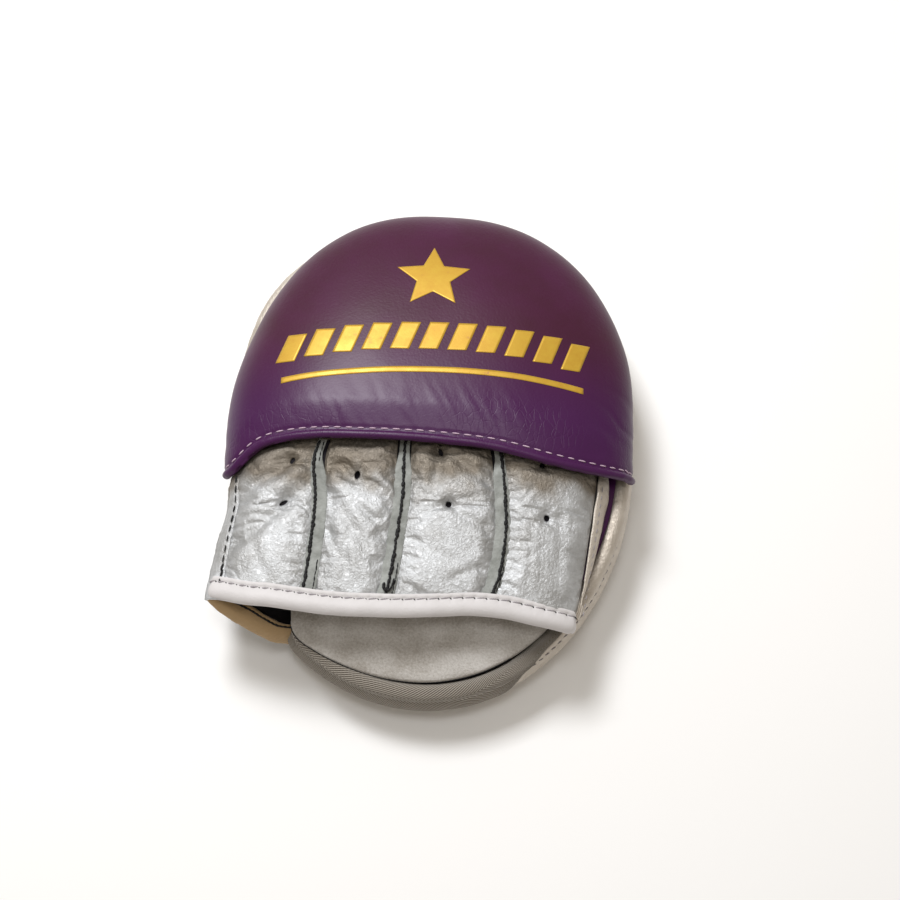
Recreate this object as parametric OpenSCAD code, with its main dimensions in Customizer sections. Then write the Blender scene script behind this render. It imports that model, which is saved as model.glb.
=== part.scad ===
// Small focus mitt for boxing, for the right hand.
// It lies on its striking face. +Z points out of the back, where the hand goes in,
// and +Y points to the fingertips. The origin is the centre of the striking face.

/* [Pad] */
// Half of the pad's width
half_w = 82; // [76:1:90]
// Half of the pad's length
half_l = 104; // [98:1:112]
// How square the finger end is, where 2 is a plain ellipse
finger_power = 2.3; // [2:0.1:2.6]
// Height of the top of the foam over the striking face
foam_top = 31; // [29:0.5:34]
// How far the back slopes down to the wrist
wrist_drop = 7; // [4:0.5:8]
// How deep the pad is cut away for the thumb
thumb_notch = 21; // [16:1:22]
// Radius of the rolled edge
roll_r = 4; // [3.4:0.1:4]

/* [Hood] */
// Height of the hood over the back of the pad
hood_h = 29; // [27:0.5:32]
// Where the middle of the hem lies along the pad
hem_y = -12; // [-14:1:-10]
// How far the hem drops back at its two ends
hem_arch = 6; // [4:0.5:7]

/* [Print] */
// Length of the row of bars across the hood
bars_w = 120; // [90:1:122]
// Number of bars in the row
bars = 11; // [7:2:13]
// Radius of the star over the bars
star_r = 15.5; // [10:0.5:16]

/* [Glove] */
// Where the middle of the cuff lies along the pad
cuff_y = -75.5; // [-78:0.5:-74]
// Height of the cuff's arch over its ends
cuff_crown = 11.5; // [10:0.5:13]
// Thickness of the glove leather
leather = 1.3; // [1:0.1:1.5]
// Width of the strip between two fingers
strip_w = 3.8; // [3:0.1:4.2]
// Radius of the vent holes
vent_r = 1.2; // [0.9:0.1:1.5]

/* [Thumb] */
// Half of the thumb stall's width
thumb_hw = 12.5; // [11:0.5:12.5]
// Half of the thumb stall's height
thumb_hh = 11.5; // [10:0.5:11.5]
// Where the tip of the thumb stall lies along the pad
thumb_tip_y = -19; // [-22:1:-19]

/* [Hidden] */
outline_steps = 72;
gap = 0.3;                          // between two layers that lie on each other
face_inset = 10.3;                  // from the pad's outline to the edge of the striking face
face_t = 1.6;                       // thickness of the striking leather
front_top = 9.5;                    // top of the front foam
core_top = 18;                      // top of the core foam
back_inset = 8.8;                   // from the outline to the edge of the back foam
panel_t = 1.4;                      // thickness of the back panel
hood_base = foam_top + 2;           // where the hood starts, just over the back panel
roll_z = foam_top - 2.5;            // centre of the rolled edge
hood_skin = 1.6;                    // thickness of the hood leather
hood_pad = 5.3;                     // thickness of the hood foam
hood_edge = 1;                      // how far the hood stands in from the outline
sleeve_depth = hood_edge + hood_skin + hood_pad + 2 * gap + 1.3;
cushion_h = 3;                      // how far the palm cushion rises
thumb_z = 20;                       // height of the thumb stall's centre line
thumb_split_y = -50;                // where the thumb stall starts to swing
silver = [0.75, 0.75, 0.73];
purple = [0.27, 0.1, 0.33];
foam_grey = [0.35, 0.35, 0.37];

// --- helpers ---

function mix(a, b, t) = a + (b - a) * t;
function smooth(t) = let (c = min(1, max(0, t))) c * c * (3 - 2 * c);
function signed_power(v, p) = sign(v) * pow(abs(v), p);

// Height of an arch of height 1 at a place s from -1 to 1 across it
function arch(s) = sqrt(max(0, 1 - pow(min(1, abs(s)), 2.4)));

// Two triangles for each cell of a grid of points that starts at number first
function cells(rows, cols, first, flip) =
    [for (r = [0:rows - 2], c = [0:cols - 2])
        let (a = first + r * cols + c, b = a + 1, d = a + cols, e = d + 1)
        each flip ? [[a, b, e], [a, e, d]] : [[a, e, b], [a, d, e]]];

// Triangles of a strip between two rows of point numbers
function seam(p, q, flip) =
    [for (i = [0:len(p) - 2])
        each flip ? [[p[i], q[i], q[i + 1]], [p[i], q[i + 1], p[i + 1]]]
                  : [[p[i], q[i + 1], q[i]], [p[i], p[i + 1], q[i + 1]]]];

// A closed sheet between an upper and a lower grid of points with rows along Y
module sheet(upper, lower) {
    rows = len(upper);
    cols = len(upper[0]);
    half = rows * cols;
    first_row = [for (c = [0:cols - 1]) c];
    last_row = [for (c = [0:cols - 1]) (rows - 1) * cols + c];
    left = [for (r = [0:rows - 1]) r * cols];
    right = [for (r = [0:rows - 1]) r * cols + cols - 1];
    polyhedron([for (row = upper) each row, for (row = lower) each row],
        concat(cells(rows, cols, 0, false), cells(rows, cols, half, true),
            seam(first_row, [for (i = first_row) i + half], false),
            seam(last_row, [for (i = last_row) i + half], true),
            seam(left, [for (i = left) i + half], true),
            seam(right, [for (i = right) i + half], false)));
}

// A closed solid through rings of points, capped at both ends or joined into a loop
module through_rings(rings, loop = false) {
    n = len(rings[0]);
    last = len(rings) - 1;
    sides = [for (r = [0:loop ? last : last - 1], i = [0:n - 1])
        let (s = (r + 1) % (last + 1), j = (i + 1) % n,
             a = r * n + i, b = r * n + j, c = s * n + i, d = s * n + j)
        each [[a, b, d], [a, d, c]]];
    caps = loop ? [] : [[for (i = [n - 1:-1:0]) i], [for (i = [0:n - 1]) last * n + i]];
    polyhedron([for (ring = rings) each ring], concat(sides, caps));
}

// A thread of a given radius along points that lie on a surface
module thread(points, r = 0.35) {
    last = len(points) - 1;
    through_rings([for (i = [0:last])
        let (d = points[min(last, i + 1)] - points[max(0, i - 1)],
             side = cross(d, [0, 0, 1]) / norm(cross(d, [0, 0, 1])),
             up = cross(side, d) / norm(d))
        [for (a = [0:60:300]) points[i] + r * (cos(a) * side + sin(a) * up)]]);
}

// --- the pad's outline and its height ---

function notch(y) = thumb_notch * smooth((y + 84) / 30) * smooth(-y / 34);

// A point of the outline at angle t, moved in by d
function outline(t, d) =
    let (n = sin(t) >= 0 ? finger_power : 2,
         x = (half_w - d) * signed_power(cos(t), 2 / n),
         y = (half_l - d) * signed_power(sin(t), 2 / n))
    [x < 0 ? x + notch(y) : x, y];

function drop(y) = wrist_drop * smooth((-30 - y) / 74);

// The outline as a ring of points, with a height that drops with the back of the pad by a share
function ring(d, z, share = 0) =
    [for (i = [0:outline_steps - 1])
        let (p = outline(360 * i / outline_steps, d)) [p[0], p[1], z - share * drop(p[1])]];

function wrist_thin(y) = smooth((-60 - y) / 40);
function roll_radius(y) = roll_r - wrist_thin(y);
function roll_centre_z(y) = roll_z - drop(y);
function gusset_top(y) = roll_centre_z(y) - roll_radius(y) - gap;

// A point at angle t of the outline: inset and share of the gusset's height
function gusset_point(t, inset, share) =
    let (p = outline(t, inset)) [p[0], p[1], share * gusset_top(outline(t, 0)[1])];

// A point on a circle of radius roll_radius + grow round the rolled edge, at angle a
function roll_point(t, a, grow) =
    let (y = outline(t, 0)[1], r = roll_radius(y),
         p = outline(t, r + gap + (r + grow) * cos(a)))
    [p[0], p[1], roll_centre_z(y) + (r + grow) * sin(a)];

// --- the pad ---

module strike_face() {
    color(purple) linear_extrude(face_t)
        polygon([for (i = [0:outline_steps - 1]) outline(360 * i / outline_steps, face_inset)]);
}

module front_foam() {
    color(foam_grey) through_rings([ring(10.8, face_t + gap), ring(6.2, 6), ring(4, front_top)]);
}

module core_foam() {
    color("dimgray") translate([0, 0, front_top + gap]) linear_extrude(core_top - front_top - gap)
        polygon([for (i = [0:outline_steps - 1]) outline(360 * i / outline_steps, 3.2)]);
}

module back_foam() {
    color(foam_grey) through_rings([
        ring(back_inset, core_top + gap), ring(back_inset, foam_top, 1), ring(22, foam_top, 1),
        ring(38, foam_top, 1), ring(56, foam_top, 1), ring(74, foam_top, 1)]);
}

module side_gusset() {
    outer = [[10, 0.02], [5.5, 0.1], [2, 0.3], [0, 0.6], [0.6, 0.85], [2, 1]];
    inner = [[3.6, 1], [2.2, 0.83], [1.6, 0.6], [3.6, 0.33], [6.8, 0.16], [10, 0.1]];
    color(silver) through_rings([for (p = concat(outer, inner))
        [for (i = [0:outline_steps - 1]) gusset_point(360 * i / outline_steps, p[0], p[1])]], true);
}

module rim_roll() {
    color(silver) through_rings([for (a = [315:-45:0])
        [for (i = [0:outline_steps - 1]) roll_point(360 * i / outline_steps, a, 0)]], true);
}

module back_panel() {
    low = foam_top + 0.2;
    high = low + panel_t;
    color(purple) through_rings([
        ring(74, low, 1), ring(56, low, 1), ring(38, low, 1), ring(22, low, 1), ring(back_inset + 0.2, low, 1),
        ring(back_inset + 0.2, high, 1), ring(22, high, 1), ring(38, high, 1), ring(56, high, 1), ring(74, high, 1)]);
}

// Half-width of the pad's wrist half at y, moved in by d
function wrist_w(y, d) = (half_w - d) * sqrt(max(0, 1 - pow(y / (half_l - d), 2)));

// A point of the palm at a share u across and v from the hood to the wrist, moved in by d
function palm(u, v, d, z) =
    let (y = mix(-14, -(half_l - d) * 0.985, v), w = wrist_w(y, d),
         left = -w + notch(y), right = min(w, 66 + 0.2 * y),
         x = mix(left, right, u),
         rise = cushion_h * smooth(2.2 * u) * smooth(2.2 * (1 - u)) * smooth(3 * v) * smooth(2.2 * (1 - v)))
    [x, y, z + rise - drop(y)];

palm_base = foam_top + 0.2 + panel_t + 0.2;

function palm_grid(d, z, rise) =
    [for (v = [0:1 / 12:1.001]) [for (u = [0:1 / 10:1.001])
        let (p = palm(u, v, d, 0)) [p[0], p[1], z - drop(p[1]) + rise * (p[2] + drop(p[1]))]]];

module palm_cushion() {
    color("lightgray") sheet(palm_grid(14, palm_base + 0.6, 1), palm_grid(14, palm_base, 0));
}

module palm_lining() {
    color([0.6, 0.57, 0.53]) sheet(palm_grid(9.6, palm_base + 2, 1), palm_grid(9.6, palm_base + 0.9, 1));
}

module edge_tape() {
    round_part = [40, 75, 110, 145, 180];
    color([0.55, 0.52, 0.46]) through_rings([for (t = [-142:4:-46])
        concat([for (a = round_part) roll_point(t, a, 0.25)],
            [gusset_point(t, 0.1, 0.9), gusset_point(t, -0.4, 0.6), gusset_point(t, 1.6, 0.3),
             gusset_point(t, 0.6, 0.3), gusset_point(t, -1.4, 0.6), gusset_point(t, -1, 0.9)],
            [for (i = [4:-1:0]) roll_point(t, round_part[i], 1.2)])]);
}

// --- the hood ---

function hem_edge(u) = hem_y - hem_arch * u * u;

// A point of a dome d inside the outline, at u from -1 to 1 across and v from the hem to the fingertips
function dome(u, v, d) =
    let (top = (half_l - d) * 0.9998,
         y = mix(hem_edge(u), top, sin(90 * v)),
         fade = 1 - pow(max(0, y) / (half_l - d), finger_power),
         x = (half_w - d) * pow(fade, 1 / finger_power) * sin(90 * u),
         h = (hood_h - d) * (1 - 0.2 * max(0, y) / half_l) * sqrt(fade))
    [x, y, hood_base + h * arch(sin(90 * u))];

function dome_grid(d, u0 = -1, u1 = 1, v0 = 0, cols = 22, rows = 11) =
    [for (j = [0:rows]) [for (i = [0:cols]) dome(mix(u0, u1, i / cols), mix(v0, 1, j / rows), d)]];

module dome_layer(d, t) {
    sheet(dome_grid(d), dome_grid(d + t));
}

module hood_shell() {
    color(purple) dome_layer(hood_edge, hood_skin);
}

module hood_foam() {
    color(foam_grey) dome_layer(hood_edge + hood_skin + gap, hood_pad);
}

module hood_lining() {
    color([0.12, 0.08, 0.14]) dome_layer(hood_edge + hood_skin + hood_pad + 2 * gap, 0.9);
}

// The hem's roll closes the front edge of the hood's layers
module hood_hem_roll() {
    r = 2.6;
    color(purple) through_rings([for (u = [-0.97:0.0746:0.971])
        let (p = dome(u, 0, 4.6), q = dome(u, 0, 5.6), n = (p - q) / norm(p - q))
        [for (a = [0:45:315]) p + [0, -r - gap, 0] + r * (cos(a) * n + sin(a) * [0, 1, 0])]]);
}

module hood_hem_thread() {
    color("white") thread([for (u = [-0.9:0.06:0.901])
        dome(u, 0.035, hood_edge - 0.6)]);
}

// A star, a row of slanted bars and a stripe
module print_pattern() {
    half_h = 6.3;
    slant = 2.2;
    half_bar = bars_w / bars * 0.34;
    translate([-1, 64]) polygon([for (i = [0:9])
        star_r * (i % 2 == 0 ? 1 : 0.46) * [sin(36 * i), cos(36 * i)]]);
    for (i = [0:bars - 1]) {
        x = bars_w * ((i + 0.5) / bars - 0.5);
        translate([x, 36 - 6 * pow(2 * x / bars_w, 2)])
            polygon([[-half_bar - slant, -half_h], [half_bar - slant, -half_h],
                [half_bar + slant, half_h], [slant - half_bar, half_h]]);
    }
    polygon(concat([for (s = [-1:0.1:1.001]) [0.48 * bars_w * s, 20.5 - 4 * s * s]],
        [for (s = [1:-0.1:-1.001]) [0.48 * bars_w * s, 17.5 - 4 * s * s]]));
}

module hood_print() {
    color("gold") intersection() {
        dome_layer(hood_edge - 0.4, 0.3);
        linear_extrude(hood_base + hood_h) print_pattern();
    }
}

// --- the finger sleeves under the hood ---

finger_us = [-0.93, -0.41, -0.09, 0.25, 0.93];

module sleeve(k) {
    color(silver) sheet(dome_grid(sleeve_depth, finger_us[k] + 0.008, finger_us[k + 1] - 0.008, 0.04, 6, 8),
        dome_grid(sleeve_depth + 1, finger_us[k] + 0.008, finger_us[k + 1] - 0.008, 0.04, 6, 8));
}

module index_sleeve() { sleeve(0); }
module middle_sleeve() { sleeve(1); }
module ring_sleeve() { sleeve(2); }
module little_sleeve() { sleeve(3); }

// A wall between two fingers, from the sleeves down to the back panel
module divider(k) {
    floor_z = hood_base + 0.2;
    path = [for (v = [0.05:0.06:0.66]) dome(finger_us[k], v, sleeve_depth + 1.4)];
    color(silver) sheet([for (p = path) [p - [0.5, 0, 0], p + [0.5, 0, 0]]],
        [for (p = path) [[p[0] - 0.5, p[1], floor_z], [p[0] + 0.5, p[1], floor_z]]]);
}

module divider_index_middle() { divider(1); }
module divider_middle_ring() { divider(2); }
module divider_ring_little() { divider(3); }

// --- the back of the glove ---

function glove_left(v) = -(half_w - 10) - 12 * sin(90 * v);
function glove_right(v) = half_w - 10 - 13.5 * v;

// A point on the back of the hand at s from -1 to 1 across and v from hem to cuff, d below its outer face
function glove(s, v, d) =
    let (left = glove_left(v) + d, right = glove_right(v) - d, share = (s + 1) / 2,
         y = mix(hem_edge(s) - 0.6, cuff_y - 4.5 * s, v),
         edge = mix(mix(hood_base + 0.4, 36.5, v), hood_base + 0.4, share),
         crown = mix(hood_h - sleeve_depth, cuff_crown, v) - d)
    [mix(left, right, share), y, edge + crown * arch(s)];

// Where the seams lie across the glove, at the hem and at the cuff
seams = [[-0.915, -0.915], [-0.604, -0.492], [-0.146, -0.046], [0.375, 0.551], [0.985, 0.985]];
function seam_at(k, v) = mix(seams[k][0], seams[k][1], v);

strip_share = strip_w / half_w / 2 * 1.15;
panel_end = 0.858;                  // where the cuff binding starts

function panel_grid(k, d, rise) =
    [for (v = [0.02:(panel_end - 0.02) / 9:panel_end + 0.001]) [for (i = [0:6])
        let (s = mix(seam_at(k, v) + strip_share, seam_at(k + 1, v) - strip_share, i / 6))
        glove(s, v, d) + [0, 0, rise * sin(180 * i / 6)]]];

// A panel of the back of the hand over finger k, with its vent holes
module finger_panel(k, vents) {
    color(silver) difference() {
        sheet(panel_grid(k, 0, 0.9), panel_grid(k, leather, 0.9));
        for (p = vents) translate([p[0], p[1], 30]) cylinder(r = vent_r, h = 40, $fn = 24);
    }
}

module index_back_panel() { finger_panel(0, [[-56.5, -34], [-54, -24]]); }
module middle_back_panel() { finger_panel(1, [[-28, -23]]); }
module ring_back_panel() { finger_panel(2, [[6.5, -31], [3.5, -18]]); }
module little_back_panel() { finger_panel(3, [[45, -36], [44, -22]]); }

function strip_grid(k, d) =
    [for (v = [0.02:(panel_end - 0.02) / 9:panel_end + 0.001]) [for (i = [-1:1])
        glove(seam_at(k, v) + i * (strip_share - 0.006), v, d)]];

module seam_strip(k) {
    color([0.5, 0.5, 0.49]) sheet(strip_grid(k, 0.2), strip_grid(k, leather));
}

module seam_strip_index_middle() { seam_strip(1); }
module seam_strip_middle_ring() { seam_strip(2); }
module seam_strip_ring_little() { seam_strip(3); }

function lining_grid(d) =
    [for (v = [0.02:(panel_end - 0.02) / 9:panel_end + 0.001]) [for (s = [-1:0.1:1.001])
        glove(0.97 * s, v, d)]];

module back_lining() {
    color([0.8, 0.76, 0.7]) sheet(lining_grid(leather + gap), lining_grid(leather + gap + 0.8));
}

// Two threads run along each strip, one on each side
module seam_thread(k, side) {
    color("black")
        thread([for (v = [0.04:0.08:0.85]) glove(seam_at(k, v) + side * strip_share * 0.55, v, -0.3)]);
}

module thread_index() { seam_thread(1, -1); }
module thread_middle_left() { seam_thread(1, 1); }
module thread_middle_right() { seam_thread(2, -1); }
module thread_ring_left() { seam_thread(2, 1); }
module thread_ring_right() { seam_thread(3, -1); }
module thread_little() { seam_thread(3, 1); }

// The folded strip along the thumb side of the index panel
module thumb_side_strip() {
    rows = [for (v = [0.02:(panel_end - 0.02) / 9:panel_end + 0.001]) v];
    outer = [for (v = rows) [for (s = [-0.995, -0.98, -0.945]) glove(s, v, 0)]];
    inner = [for (v = rows) [for (s = [-0.995, -0.98, -0.945]) glove(s, v, leather)]];
    color(silver) sheet(outer, inner);
}

module thumb_side_thread() {
    color("black") thread([for (v = [0.04:0.08:0.85]) glove(-0.945, v, -0.9)]);
}

module cuff_binding() {
    rows = [for (v = [panel_end + 0.007:(0.993 - panel_end) / 4:1.001]) v];
    color("white") sheet([for (v = rows) [for (s = [-1:0.08:1.001]) glove(s, v, -1)]],
        [for (v = rows) [for (s = [-1:0.08:1.001]) glove(s, v, 3.2)]]);
}

module cuff_thread() {
    color("gray") thread([for (s = [-0.96:0.06:0.961]) glove(s, panel_end + 0.05, -1.5)]);
}

// --- the thumb stall ---

thumb_full_y = -48;                 // the stall tapers to its tip from here

// Centre and half-width of the stall at y, and how much its tip has closed
function thumb_x(y) = -69.5 - 2.5 * smooth((y + 40) / 20) + 1.5 * smooth((-50 - y) / 20);
function thumb_close(y) = arch((max(y, thumb_full_y) - thumb_full_y) / (thumb_tip_y - thumb_full_y));
function thumb_w(y) = thumb_hw * thumb_close(y) + 3.2 * smooth((-50 - y) / 20);

// A point of the stall's wall at y and at angle a round it, d inside its outer face
function thumb(y, a, d) =
    [thumb_x(y) + (thumb_w(y) - d) * cos(a), y, thumb_z + (thumb_hh * thumb_close(y) - d) * sin(a)];

// The root is a trough: open towards the hand, with a wall that rises to the glove's edge
function root_row(y, d) =
    let (rim = thumb(y, 180, d), share = (hem_y - y) / (hem_y - cuff_y))
    concat([for (a = [360:-22.5:180]) thumb(y, a, d)],
        [[rim[0], y, 27], [mix(rim[0], glove_left(min(1, share)) + d, 0.7), y, 32.5]]);

module thumb_root_sleeve() {
    rows = [for (y = [-68:4:thumb_split_y - 1]) y];
    color(silver) sheet([for (y = rows) root_row(y, leather)], [for (y = rows) root_row(y, 0)]);
}

// The floor of the mouth: its lip runs from the cuff's corner down to the edge tape
function lip_y(a) = mix(-71.5, -78, smooth((a - 180) / 90));

module thumb_floor_panel() {
    angles = [332:-19:180];
    function row(v, d) = [for (a = angles) let (p = thumb(-68, a, d)) [p[0], mix(-68.6, lip_y(a), v), p[2]]];
    color([0.62, 0.5, 0.38]) sheet([for (v = [1:-0.25:0]) row(v, leather)], [for (v = [1:-0.25:0]) row(v, 0)]);
}

// The stall is cut on a slant, so that it clears the root when it swings out
function tip_start(a) = mix(-47, -38, (1 - cos(a)) / 2);
function tip_row(v, from, to, d) =
    [for (a = [from:(to - from) / 8:to + 0.1])
        thumb(mix(tip_start(a), thumb_tip_y - 0.15 - d, v), a, d)];

module half_tip(from, to) {
    rows = [0, 0.2, 0.4, 0.58, 0.74, 0.86, 0.94, 1];
    sheet([for (v = rows) tip_row(v, to, from, 0)], [for (v = rows) tip_row(v, to, from, leather)]);
}

module thumb_tip_back() {
    color(silver) half_tip(2, 178);
}

module thumb_tip_front() {
    color(silver) half_tip(182, 358);
}

module thumb_tip_thread() {
    color("black") thread([for (y = [-36:3:-24]) thumb(y, 180, -0.7)], 0.3);
}

strike_face();
front_foam();
core_foam();
back_foam();
side_gusset();
rim_roll();
back_panel();
palm_cushion();
palm_lining();
edge_tape();
hood_shell();
hood_foam();
hood_lining();
hood_hem_roll();
hood_hem_thread();
hood_print();
index_sleeve();
middle_sleeve();
ring_sleeve();
little_sleeve();
divider_index_middle();
divider_middle_ring();
divider_ring_little();
thumb_root_sleeve();
thumb_floor_panel();
index_back_panel();
middle_back_panel();
ring_back_panel();
little_back_panel();
seam_strip_index_middle();
seam_strip_middle_ring();
seam_strip_ring_little();
back_lining();
thread_index();
thread_middle_left();
thread_middle_right();
thread_ring_left();
thread_ring_right();
thread_little();
thumb_side_strip();
thumb_side_thread();
cuff_binding();
cuff_thread();
thumb_tip_back();
thumb_tip_front();
thumb_tip_thread();
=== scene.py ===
import math
import random

import bmesh
import bpy
from mathutils import Matrix, Vector, kdtree, noise
from mathutils.bvhtree import BVHTree


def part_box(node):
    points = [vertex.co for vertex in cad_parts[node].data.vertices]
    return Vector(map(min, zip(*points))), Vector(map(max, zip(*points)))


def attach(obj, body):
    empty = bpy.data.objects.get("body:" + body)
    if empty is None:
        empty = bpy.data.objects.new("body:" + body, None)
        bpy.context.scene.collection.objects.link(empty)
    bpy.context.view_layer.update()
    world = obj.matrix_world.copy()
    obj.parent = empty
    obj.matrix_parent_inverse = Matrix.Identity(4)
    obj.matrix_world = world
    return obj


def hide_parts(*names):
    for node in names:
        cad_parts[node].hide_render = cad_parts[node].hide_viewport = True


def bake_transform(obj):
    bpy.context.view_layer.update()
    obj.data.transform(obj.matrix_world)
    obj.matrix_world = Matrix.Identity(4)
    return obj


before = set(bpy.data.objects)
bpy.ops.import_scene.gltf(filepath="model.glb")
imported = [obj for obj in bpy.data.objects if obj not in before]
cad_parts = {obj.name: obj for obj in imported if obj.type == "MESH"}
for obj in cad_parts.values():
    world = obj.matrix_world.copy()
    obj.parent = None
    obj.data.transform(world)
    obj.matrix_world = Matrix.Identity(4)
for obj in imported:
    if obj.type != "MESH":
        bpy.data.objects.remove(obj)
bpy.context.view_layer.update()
scene = bpy.context.scene
mm = 0.001
print("frame loaded")


# Sizes, in millimetres, read from the frame where a node holds them

def span(node):
    low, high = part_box(node)
    return [c / mm for c in low], [c / mm for c in high]


gussetHigh = span("side_gusset")[1]
shellLow, shellHigh = span("hood_shell")
tipHigh = span("thumb_tip_back")[1]

pad = {
    "halfWidth": gussetHigh[0] + 0.4,
    "halfLength": gussetHigh[1] - 1,
    "fingerPower": 2.3,  # squareness of the finger end, where 2 is an ellipse
    "lean": 1.8,  # how far the finger end leans to the little finger's side
    "leanOver": 45,  # the stretch over which it comes to lean
    "bulge": 2.4,  # how far the finger end swells out from under the hood on the thumb's side
    "bulgeAt": 2.55,  # in radians round the pad
    "bulgeWidth": 0.33,
    "notch": 21,  # how deep the thumb side is cut away
    "notchFrom": -84,
    "notchGrows": 30,
    "notchFades": 34,
    "wristDrop": 7,
    "dropFrom": -30,
    "dropOver": 74,
    "foamTop": shellLow[2] - 2,
    "rollRadius": 3.7,
    "rollGap": 0.9,  # between the outline and the roll
    "rollBelow": 2.5,  # the roll's middle under the foam's top
    "sideLow": 0.4,
    "sideInsets": [9.4, 5.6, 2.3, 0.3, -0.5, 0.8, 2.6],  # from the striking face up to the roll
    "middle": (4, 2, 0),
}
hood = {
    "base": shellLow[2],
    "height": shellHigh[2] - shellLow[2] + 1,
    # the hem's places along the mitt, thumb side first
    "hem": [-17.4, -16.3, -8.5, -6.2, -6.6, -7.5, -9.6, -13.8, -15.4, -14.6, -13.8],
    "skin": 1.4,
    "foam": 4.6,
    "lipDrop": 2.4,  # how far the leather turns down to the hem
    "lipReach": 15,
    "slope": 0.2,  # share of the height lost towards the fingertips
    "thumbTuck": 0.024,  # share by which the roll shows past the hood on the thumb's side
    "tuckFrom": 30,
    "tuckOver": 40,
}
glove = {
    "top": -12.6,
    "topArch": 6,
    # the cuff's places along the mitt, thumb side first
    "cuff": [-70, -73, -74.8, -76.6, -77.4, -77.2, -76.4, -75.2, -75.3, -77.2, -78.6],
    "hemCrown": 18.3,
    "cuffCrown": 11.5,
    "leather": 1.2,
    "under": -0.24,  # share by which the leather runs on under the hood
    "panelEnd": 0.885,  # share of the way from hem to cuff where the binding covers it
    # how far across each line lies, from under the hood to the cuff
    "thumbEdge": [-74, -77.7, -78, -80.4, -82.2, -83.8],
    "thumbSeam": [-72, -75.3, -75.1, -76.7, -78.1, -78.2],
    "indexMiddle": [-41.5, -45, -43.9, -44.3, -45.7, -47.5],
    "middleRing": [-9.5, -9.9, -10, -11.6, -13.6, -16.5],
    "ringLittle": [25.5, 28.3, 30, 30.2, 27.8, 22.5],
    "littleSeam": [68, 67.1, 65.2, 63.2, 61, 58.6],
    "littleEdge": [70, 71.5, 68.8, 65.4, 61.1, 57.6],
}
# each seam strip's reach to the thumb's side and to the little finger's side of its seam
strips = {"indexMiddle": (1.3, 3.6), "middleRing": (3.0, 2.4), "ringLittle": (3.3, 1.4)}


# Plain shaping functions

def mix(a, b, t):
    return a + (b - a) * t


def smooth(t):
    t = min(1, max(0, t))
    return t * t * (3 - 2 * t)


def arch(s):
    return math.sqrt(max(0, 1 - min(1, abs(s)) ** 2.4))


def ripple(x, y, z, size):
    return noise.noise(Vector((x, y, z)) / size)


def curve(values, t):
    # a smooth line through a few values, at a share t of the way
    last = len(values) - 1
    place = min(last - 1e-6, max(0, t * last))
    i = int(place)
    f = place - i
    a, b, c, d = [values[min(last, max(0, i + k))] for k in (-1, 0, 1, 2)]
    bend = 2 * a - 5 * b + 4 * c - d
    return 0.5 * (2 * b + (c - a) * f + bend * f * f + (3 * b - a - 3 * c + d) * f ** 3)


def curve3(points, t):
    return Vector([curve([p[i] for p in points], t) for i in range(3)])


def paced(place, start, end, pitch):
    # shares of a line, evenly spaced along its true length
    stops = [mix(start, end, i / 400) for i in range(401)]
    run = [0]
    for a, b in zip(stops, stops[1:]):
        run.append(run[-1] + (Vector(place(b)) - Vector(place(a))).length)
    count = max(1, round(run[-1] / pitch))
    found = []
    i = 0
    for k in range(count):
        want = (k + 0.5) * run[-1] / count
        while run[i + 1] < want:
            i += 1
        found.append(mix(stops[i], stops[i + 1], (want - run[i]) / (run[i + 1] - run[i])))
    return found


# The pad's outline and the heights along it

def notch(y):
    return pad["notch"] * smooth((y - pad["notchFrom"]) / pad["notchGrows"]) * smooth(-y / pad["notchFades"])


def leanX(y):
    return pad["lean"] * smooth(y / pad["leanOver"])


def outline(angle, inset):
    c, s = math.cos(angle), math.sin(angle)
    inset -= pad["bulge"] * math.exp(-((math.atan2(s, c) - pad["bulgeAt"]) / pad["bulgeWidth"]) ** 2)
    power = pad["fingerPower"] if s >= 0 else 2
    x = (pad["halfWidth"] - inset) * math.copysign(abs(c) ** (2 / power), c)
    y = (pad["halfLength"] - inset) * math.copysign(abs(s) ** (2 / power), s)
    return (x + notch(y) if x < 0 else x) + leanX(y), y


def drop(y):
    return pad["wristDrop"] * smooth((pad["dropFrom"] - y) / pad["dropOver"])


def rollRadius(y):
    # a millimetre thinner at the wrist
    return pad["rollRadius"] - smooth((-60 - y) / 40)


def rollZ(y):
    return pad["foamTop"] - pad["rollBelow"] - drop(y)


def rollPoint(angle, turn, grow):
    y0 = outline(angle, 0)[1]
    r = rollRadius(y0)
    x, y = outline(angle, r + pad["rollGap"] + (r + grow) * math.cos(turn))
    return x, y, rollZ(y0) + (r + grow) * math.sin(turn)


def gussetPoint(angle, part, grow=0):
    y0 = outline(angle, 0)[1]
    low, top = pad["sideLow"], rollZ(y0) - rollRadius(y0) * 0.5
    x, y = outline(angle, curve(pad["sideInsets"], part) - grow)
    return x, y, low + part * (top - low)


def discPoint(angle, inset, part):
    # a share of the way from the pad's middle to its outline
    middle = Vector(pad["middle"])
    return middle + (Vector((*outline(angle, inset), 0)) - middle) * max(1e-3, part)


# The dome of the hood and the back of the glove

def hemEdge(u):
    return curve(hood["hem"], (u + 1) / 2)


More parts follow.
